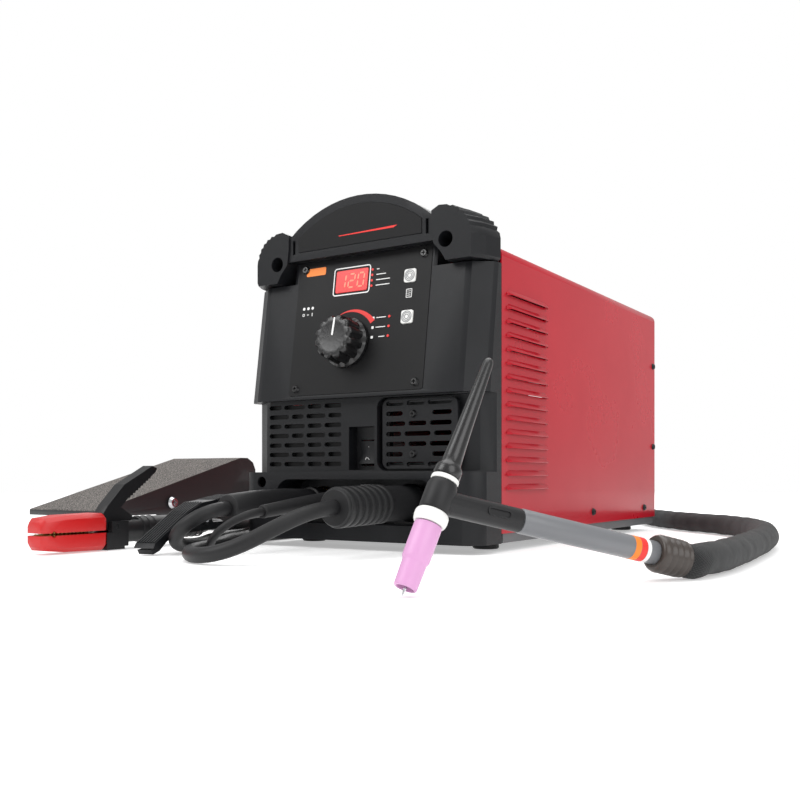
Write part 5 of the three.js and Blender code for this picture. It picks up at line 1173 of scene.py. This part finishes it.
def build_torch():
    up, head = TORCH_UP, TORCH_HEAD
    cap = [(0.02, 16.3), (7, 16.3), (8.2, 16.6), (8.6, 17.5), (8.6, 21.5), (8.2, 23), (7, 24.6),
           (6.4, 26.2), (6.1, 30), (5.6, 40),
           (5.1, 52), (4.4, 74), (3.5, 98), (3.2, 100.6), (2.6, 102.4), (1.5, 103.4), (0.02, 103.6)]
    add("cap_body", lathe(head, up, cap), "knob_plastic", "back_cap", replaced=("torch_back_cap",))
    ring = [(3.4, 12.8), (8.2, 12.8), (8.6, 13), (8.8, 13.6), (8.8, 15.2), (8.5, 15.8), (8, 16),
            (3.4, 16)]
    add("cap_seal", lathe(head, up, ring, looped=True), "white_plastic", "machine",
        replaced=("torch_cap_ring",))
    gasket = [(3.4, -7.3), (9, -7.3), (9.9, -8), (10.5, -9.4), (10.6, -12), (10.1, -14.4),
              (9.4, -15.7), (3.4, -15.7)]
    add("cup_gasket", lathe(head, up, gasket, looped=True), "white_plastic", "machine",
        replaced=("torch_gasket",))
    low = -(TIP_DEPTH - 5)
    cup = [(5, -16), (8, -16), (8.4, -16.3), (8.6, -17.6), (8.6, -38.4), (8.3, -39.4), (7.8, -40.2),
           (7.55, -41.2),
           (7.2, low + 1.2), (7, low + 0.4), (6.6, low), (5.6, low), (5.4, low + 0.5),
           (5.4, low + 14), (5, low + 17)]
    add("ceramic_cup", lathe(head, up, cup, looped=True), "pink_ceramic", "nozzle",
        replaced=("torch_nozzle",))
    rod = [(0.02, -TIP_DEPTH), (0.25, -TIP_DEPTH + 0.4), (1.2, -TIP_DEPTH + 5), (1.2, 12),
           (0.02, 12)]
    add("tungsten_rod", lathe(head, up, rod, 24), "bright_steel", "machine",
        replaced=("tungsten_electrode",))
    softened("torch_head", "black_rubber", "machine", 0.0008, 50)

    tail = (TORCH_TAIL - TORCH_HEAD).length * 1000 + 12.5
    grip_end = tail - 17
    grip = [(0.02, 58.3), (6.6, 58.3), (7.6, 58.7), (8, 59.8), (8, grip_end - 0.8), (7.6, grip_end),
            (0.02, grip_end)]
    add("torch_grip", lathe(head, TORCH_REACH, grip), "grey_plastic", "machine",
        replaced=("torch_handle",))
    for finish_name, start, wide in (("orange_print", 21, 4.8), ("red_print", 16, 4.8),
                                     ("white_print", 11, 3.0)):
        begin = tail - 25 - start
        stripe = [(7.9, begin), (8.12, begin + 0.2), (8.12, begin + wide),
                  (7.9, begin + wide + 0.2)]
        add("grip_" + finish_name, lathe(head, TORCH_REACH, stripe, looped=True), finish_name,
            "machine",
            slot="red_insulator" if finish_name != "white_print" else "white_plastic")
    start, r = tail - 25, 13
    collar = [(8.3, 0), (r - 2.4, 0), (r - 1.4, 0.5), (r - 0.6, 1.6)]
    for i in range(4):
        base = 2.6 + i * 5
        collar += [(r, base + 0.8), (r, base + 3), (r - 1.1, base + 3.8), (r - 1.1, base + 4.4)]
    collar += [(r - 0.3, 23.6), (r - 1.2, 25), (2, 25), (2, 8.3), (8.3, 8.3)]
    add("torch_collar_ribbed",
        lathe(head, TORCH_REACH, [(a, start + b) for a, b in collar], looped=True),
        "brown_clamp", "machine", replaced=("torch_collar",))
    across = TORCH_REACH.cross(TORCH_UP).normalized()
    outward = across.cross(TORCH_REACH).normalized()
    neck = Matrix((TORCH_REACH, outward, across)).transposed().to_4x4()
    neck.translation = head + TORCH_REACH * 0.04
    for sign, name in ((-1, "neck_rim_b"), (1, "neck_rim_a")):
        place = neck @ Matrix.Rotation(math.pi / 2 * sign, 4,
                                       "X") @ Matrix.Translation((0, -0.0069, 0))
        rim = band_mesh(*frame_band(17, 5.2, 2.5, 0.8, 0, 0), 1.1, place)
        add(name, rim, "black_rubber", "machine")


def build_holder():
    softened("holder_handle", "black_rubber", "machine", 0.0008, 45)
    softened("holder_lower_jaw", "red_insulator", "machine", 0.0022, 62)
    softened("holder_upper_jaw", "red_insulator", "holder_grip", 0.0022, 62)
    softened("holder_lever", "black_rubber", "holder_grip", 0.0008, 45)
    for side, body, name in ((-1, "machine", "lower_teeth"), (1, "holder_grip", "upper_teeth")):
        points = [HOLDER + Vector((0, (9 + i * 4.2) / 1000, side * 0.00135)) for i in range(12)]
        repeated(name, "ridge_bars", points, [(1, 0, 0)] * 12, "brass", body, 0.0011, 0.022)
    slope = Vector((0, 36, 26)).normalized()
    start = HOLDER + Vector((0, 0.1005, 0.0304))
    points = [start + slope * (0.004 * i + 0.003) for i in range(9)]
    repeated("lever_ridges", "ridge_bars", points, [(1, 0, 0)] * 9, "black_rubber", "holder_grip",
             0.0013, 0.0132)
    collars = [band_of_grip(along) for along in (118, 126, 134, 184, 192, 200)]
    add("grip_rings", merged(collars), "black_rubber", "machine")


def band_of_grip(along):
    """A low ring round the holder's handle."""
    radius = 12.5 if along < 150 else 11.5
    profile = [(radius - 0.6, along - 1.6), (radius + 0.5, along - 0.8),
               (radius + 0.5, along + 0.8), (radius - 0.6, along + 1.6)]
    return lathe(HOLDER, Vector((0, 1, 0)), profile, 48, looped=True)


ARM_TOP = [(3.4, 11.2), (30, 23.5), (60, 37), (72, 41), (83, 44.7)]


def build_clamp():
    softened("clamp_upper_arm", "black_moulding", "clamp_arm", 0.0007)
    softened("clamp_lower_arm", "black_moulding", "machine", 0.0007)
    pin = Vector((0, 0.092, 0.030))
    spring = []
    for i in range(141):
        turn = 2 * math.pi * 5 * i / 140
        local = pin + Vector((-0.0066 + 0.0132 * i / 140, 0.0046 * math.cos(turn),
                              0.0046 * math.sin(turn)))
        spring.append(CLAMP @ local)
    add("clamp_spring", tube(spring, 0.0008, 8), "bright_steel", "machine")
    ribs = []
    for i in range(-3, 4):
        line = [CLAMP @ (Vector((i * 2.7, y, z + 0.25)) / 1000) for y, z in ARM_TOP]
        ribs.append(tube(spaced(line, 8), 0.0009, 8))
    add("clamp_ribs", merged(ribs), "black_moulding", "clamp_arm")
    points = [CLAMP @ Vector((0, (110 + 5.2 * i) / 1000,
                              (46.9 + 0.53 * i) / 1000)) for i in range(8)]
    axis = CLAMP.to_3x3() @ Vector((1, 0, 0))
    repeated("clamp_ridges", "ridge_bars", points, [tuple(axis)] * 8, "black_moulding", "clamp_arm",
             0.0011, 0.0196)
    caps = [CLAMP @ Vector((side * 0.0102, 0.092, 0.030)) for side in (-1, 1)]
    repeated("clamp_rivets", "screw_heads", caps, [tuple(-axis), tuple(axis)], "bright_steel",
             "machine",
             0.0044, 0.0018)


def build_pedal():
    softened("pedal_cover", "pedal_paint", "pedal", 0.0026, 45)
    softened("pedal_base", "pedal_paint", "machine", 0.0008, 45)
    pivot = PEDAL + Vector((0, 0.111, 0.037))
    points = [pivot + Vector((side * 0.0665, 0, 0)) for side in (-1, 1)]
    repeated("pedal_bolts", "screw_heads", points, [(-1, 0, 0), (1, 0, 0)], "bright_steel",
             "machine",
             0.0075, 0.0034)


def build_inside():
    for node, finish_name, body in (
        ("fan_frame", "black_moulding", "machine"), ("fan_rotor", "black_moulding", "rotor"),
        ("heat_sink", "aluminium", "machine"), ("power_board", "green_board", "machine"),
        ("control_board", "green_board", "machine"),
    ):
        softened(node, finish_name, body, 0)


# ---------------------------------------------------------------- operators


class WELDER_OT_stage(bpy.types.Operator):
    """Set up the camera, the floor and the lights"""

    bl_idname = "welder.stage"
    bl_label = "Stage"

    def execute(self, context):
        build_stage()
        return {"FINISHED"}


class WELDER_OT_leads(bpy.types.Operator):
    """Build the torch cover and the four leads with their coils"""

    bl_idname = "welder.leads"
    bl_label = "Leads"

    def execute(self, context):
        build_leads()
        return {"FINISHED"}


class WELDER_OT_case(bpy.types.Operator):
    """Build the cover, front moulding, brow, rear panel, feet and screws"""

    bl_idname = "welder.case"
    bl_label = "Case"

    def execute(self, context):
        build_case()
        return {"FINISHED"}


class WELDER_OT_panel(bpy.types.Operator):
    """Build the display, the print, the lamps and the panel's screws"""

    bl_idname = "welder.panel"
    bl_label = "Control panel"

    def execute(self, context):
        build_panel()
        return {"FINISHED"}


class WELDER_OT_knob(bpy.types.Operator):
    """Build the scalloped knob with its pointer"""

    bl_idname = "welder.knob"
    bl_label = "Output knob"

    def execute(self, context):
        build_knob()
        return {"FINISHED"}


class WELDER_OT_buttons(bpy.types.Operator):
    """Build the page and mode buttons"""

    bl_idname = "welder.buttons"
    bl_label = "Buttons"

    def execute(self, context):
        build_buttons()
        return {"FINISHED"}


class WELDER_OT_switch(bpy.types.Operator):
    """Build the rocker with its marks"""

    bl_idname = "welder.switch"
    bl_label = "Power switch"

    def execute(self, context):
        build_switch()
        return {"FINISHED"}


class WELDER_OT_plugs(bpy.types.Operator):
    """Build the work, electrode and remote plugs"""

    bl_idname = "welder.plugs"
    bl_label = "Plugs"

    def execute(self, context):
        build_plugs()
        return {"FINISHED"}


class WELDER_OT_torch(bpy.types.Operator):
    """Build the head, cap, cup, handle and collar"""

    bl_idname = "welder.torch"
    bl_label = "Torch"

    def execute(self, context):
        build_torch()
        return {"FINISHED"}


class WELDER_OT_holder(bpy.types.Operator):
    """Build the jaws, teeth, lever and handle"""

    bl_idname = "welder.holder"
    bl_label = "Electrode holder"

    def execute(self, context):
        build_holder()
        return {"FINISHED"}


class WELDER_OT_clamp(bpy.types.Operator):
    """Build the arms, ridges, spring and rivets"""

    bl_idname = "welder.clamp"
    bl_label = "Work clamp"

    def execute(self, context):
        build_clamp()
        return {"FINISHED"}


class WELDER_OT_pedal(bpy.types.Operator):
    """Build the cover, base and pivot bolts"""

    bl_idname = "welder.pedal"
    bl_label = "Foot pedal"

    def execute(self, context):
        build_pedal()
        return {"FINISHED"}


class WELDER_OT_inside(bpy.types.Operator):
    """Build the fan, heat sink and boards"""

    bl_idname = "welder.inside"
    bl_label = "Inside"

    def execute(self, context):
        build_inside()
        return {"FINISHED"}


# in the order in which they run
STEPS = [
    WELDER_OT_stage, WELDER_OT_leads, WELDER_OT_case, WELDER_OT_panel, WELDER_OT_knob,
    WELDER_OT_buttons, WELDER_OT_switch, WELDER_OT_plugs, WELDER_OT_torch,
    WELDER_OT_holder, WELDER_OT_clamp, WELDER_OT_pedal, WELDER_OT_inside,
]


class WELDER_PT_build(bpy.types.Panel):
    """Lists the building steps and the sizes"""

    bl_idname = "WELDER_PT_build"
    bl_label = "Welder"
    bl_space_type = "VIEW_3D"
    bl_region_type = "UI"
    bl_category = "Welder"

    def draw(self, context):
        for step in STEPS:
            self.layout.operator(step.bl_idname)
        for holder in (context.scene.welder_sizes, context.scene.welder_colours):
            for key in holder.__annotations__:
                self.layout.prop(holder, key)


CLASSES = [WelderSizes, WelderColours, *STEPS, WELDER_PT_build]


def register():
    for made in CLASSES:
        bpy.utils.register_class(made)
    bpy.types.Scene.welder_sizes = bpy.props.PointerProperty(type=WelderSizes)
    bpy.types.Scene.welder_colours = bpy.props.PointerProperty(type=WelderColours)


def unregister():
    del bpy.types.Scene.welder_colours
    del bpy.types.Scene.welder_sizes
    for made in reversed(CLASSES):
        bpy.utils.unregister_class(made)


def main():
    register()
    bpy.ops.welder.stage()
    bpy.ops.welder.leads()
    bpy.ops.welder.case()
    bpy.ops.welder.panel()
    bpy.ops.welder.knob()
    bpy.ops.welder.buttons()
    bpy.ops.welder.switch()
    bpy.ops.welder.plugs()
    bpy.ops.welder.torch()
    bpy.ops.welder.holder()
    bpy.ops.welder.clamp()
    bpy.ops.welder.pedal()
    bpy.ops.welder.inside()


if __name__ == "__main__":
    main()
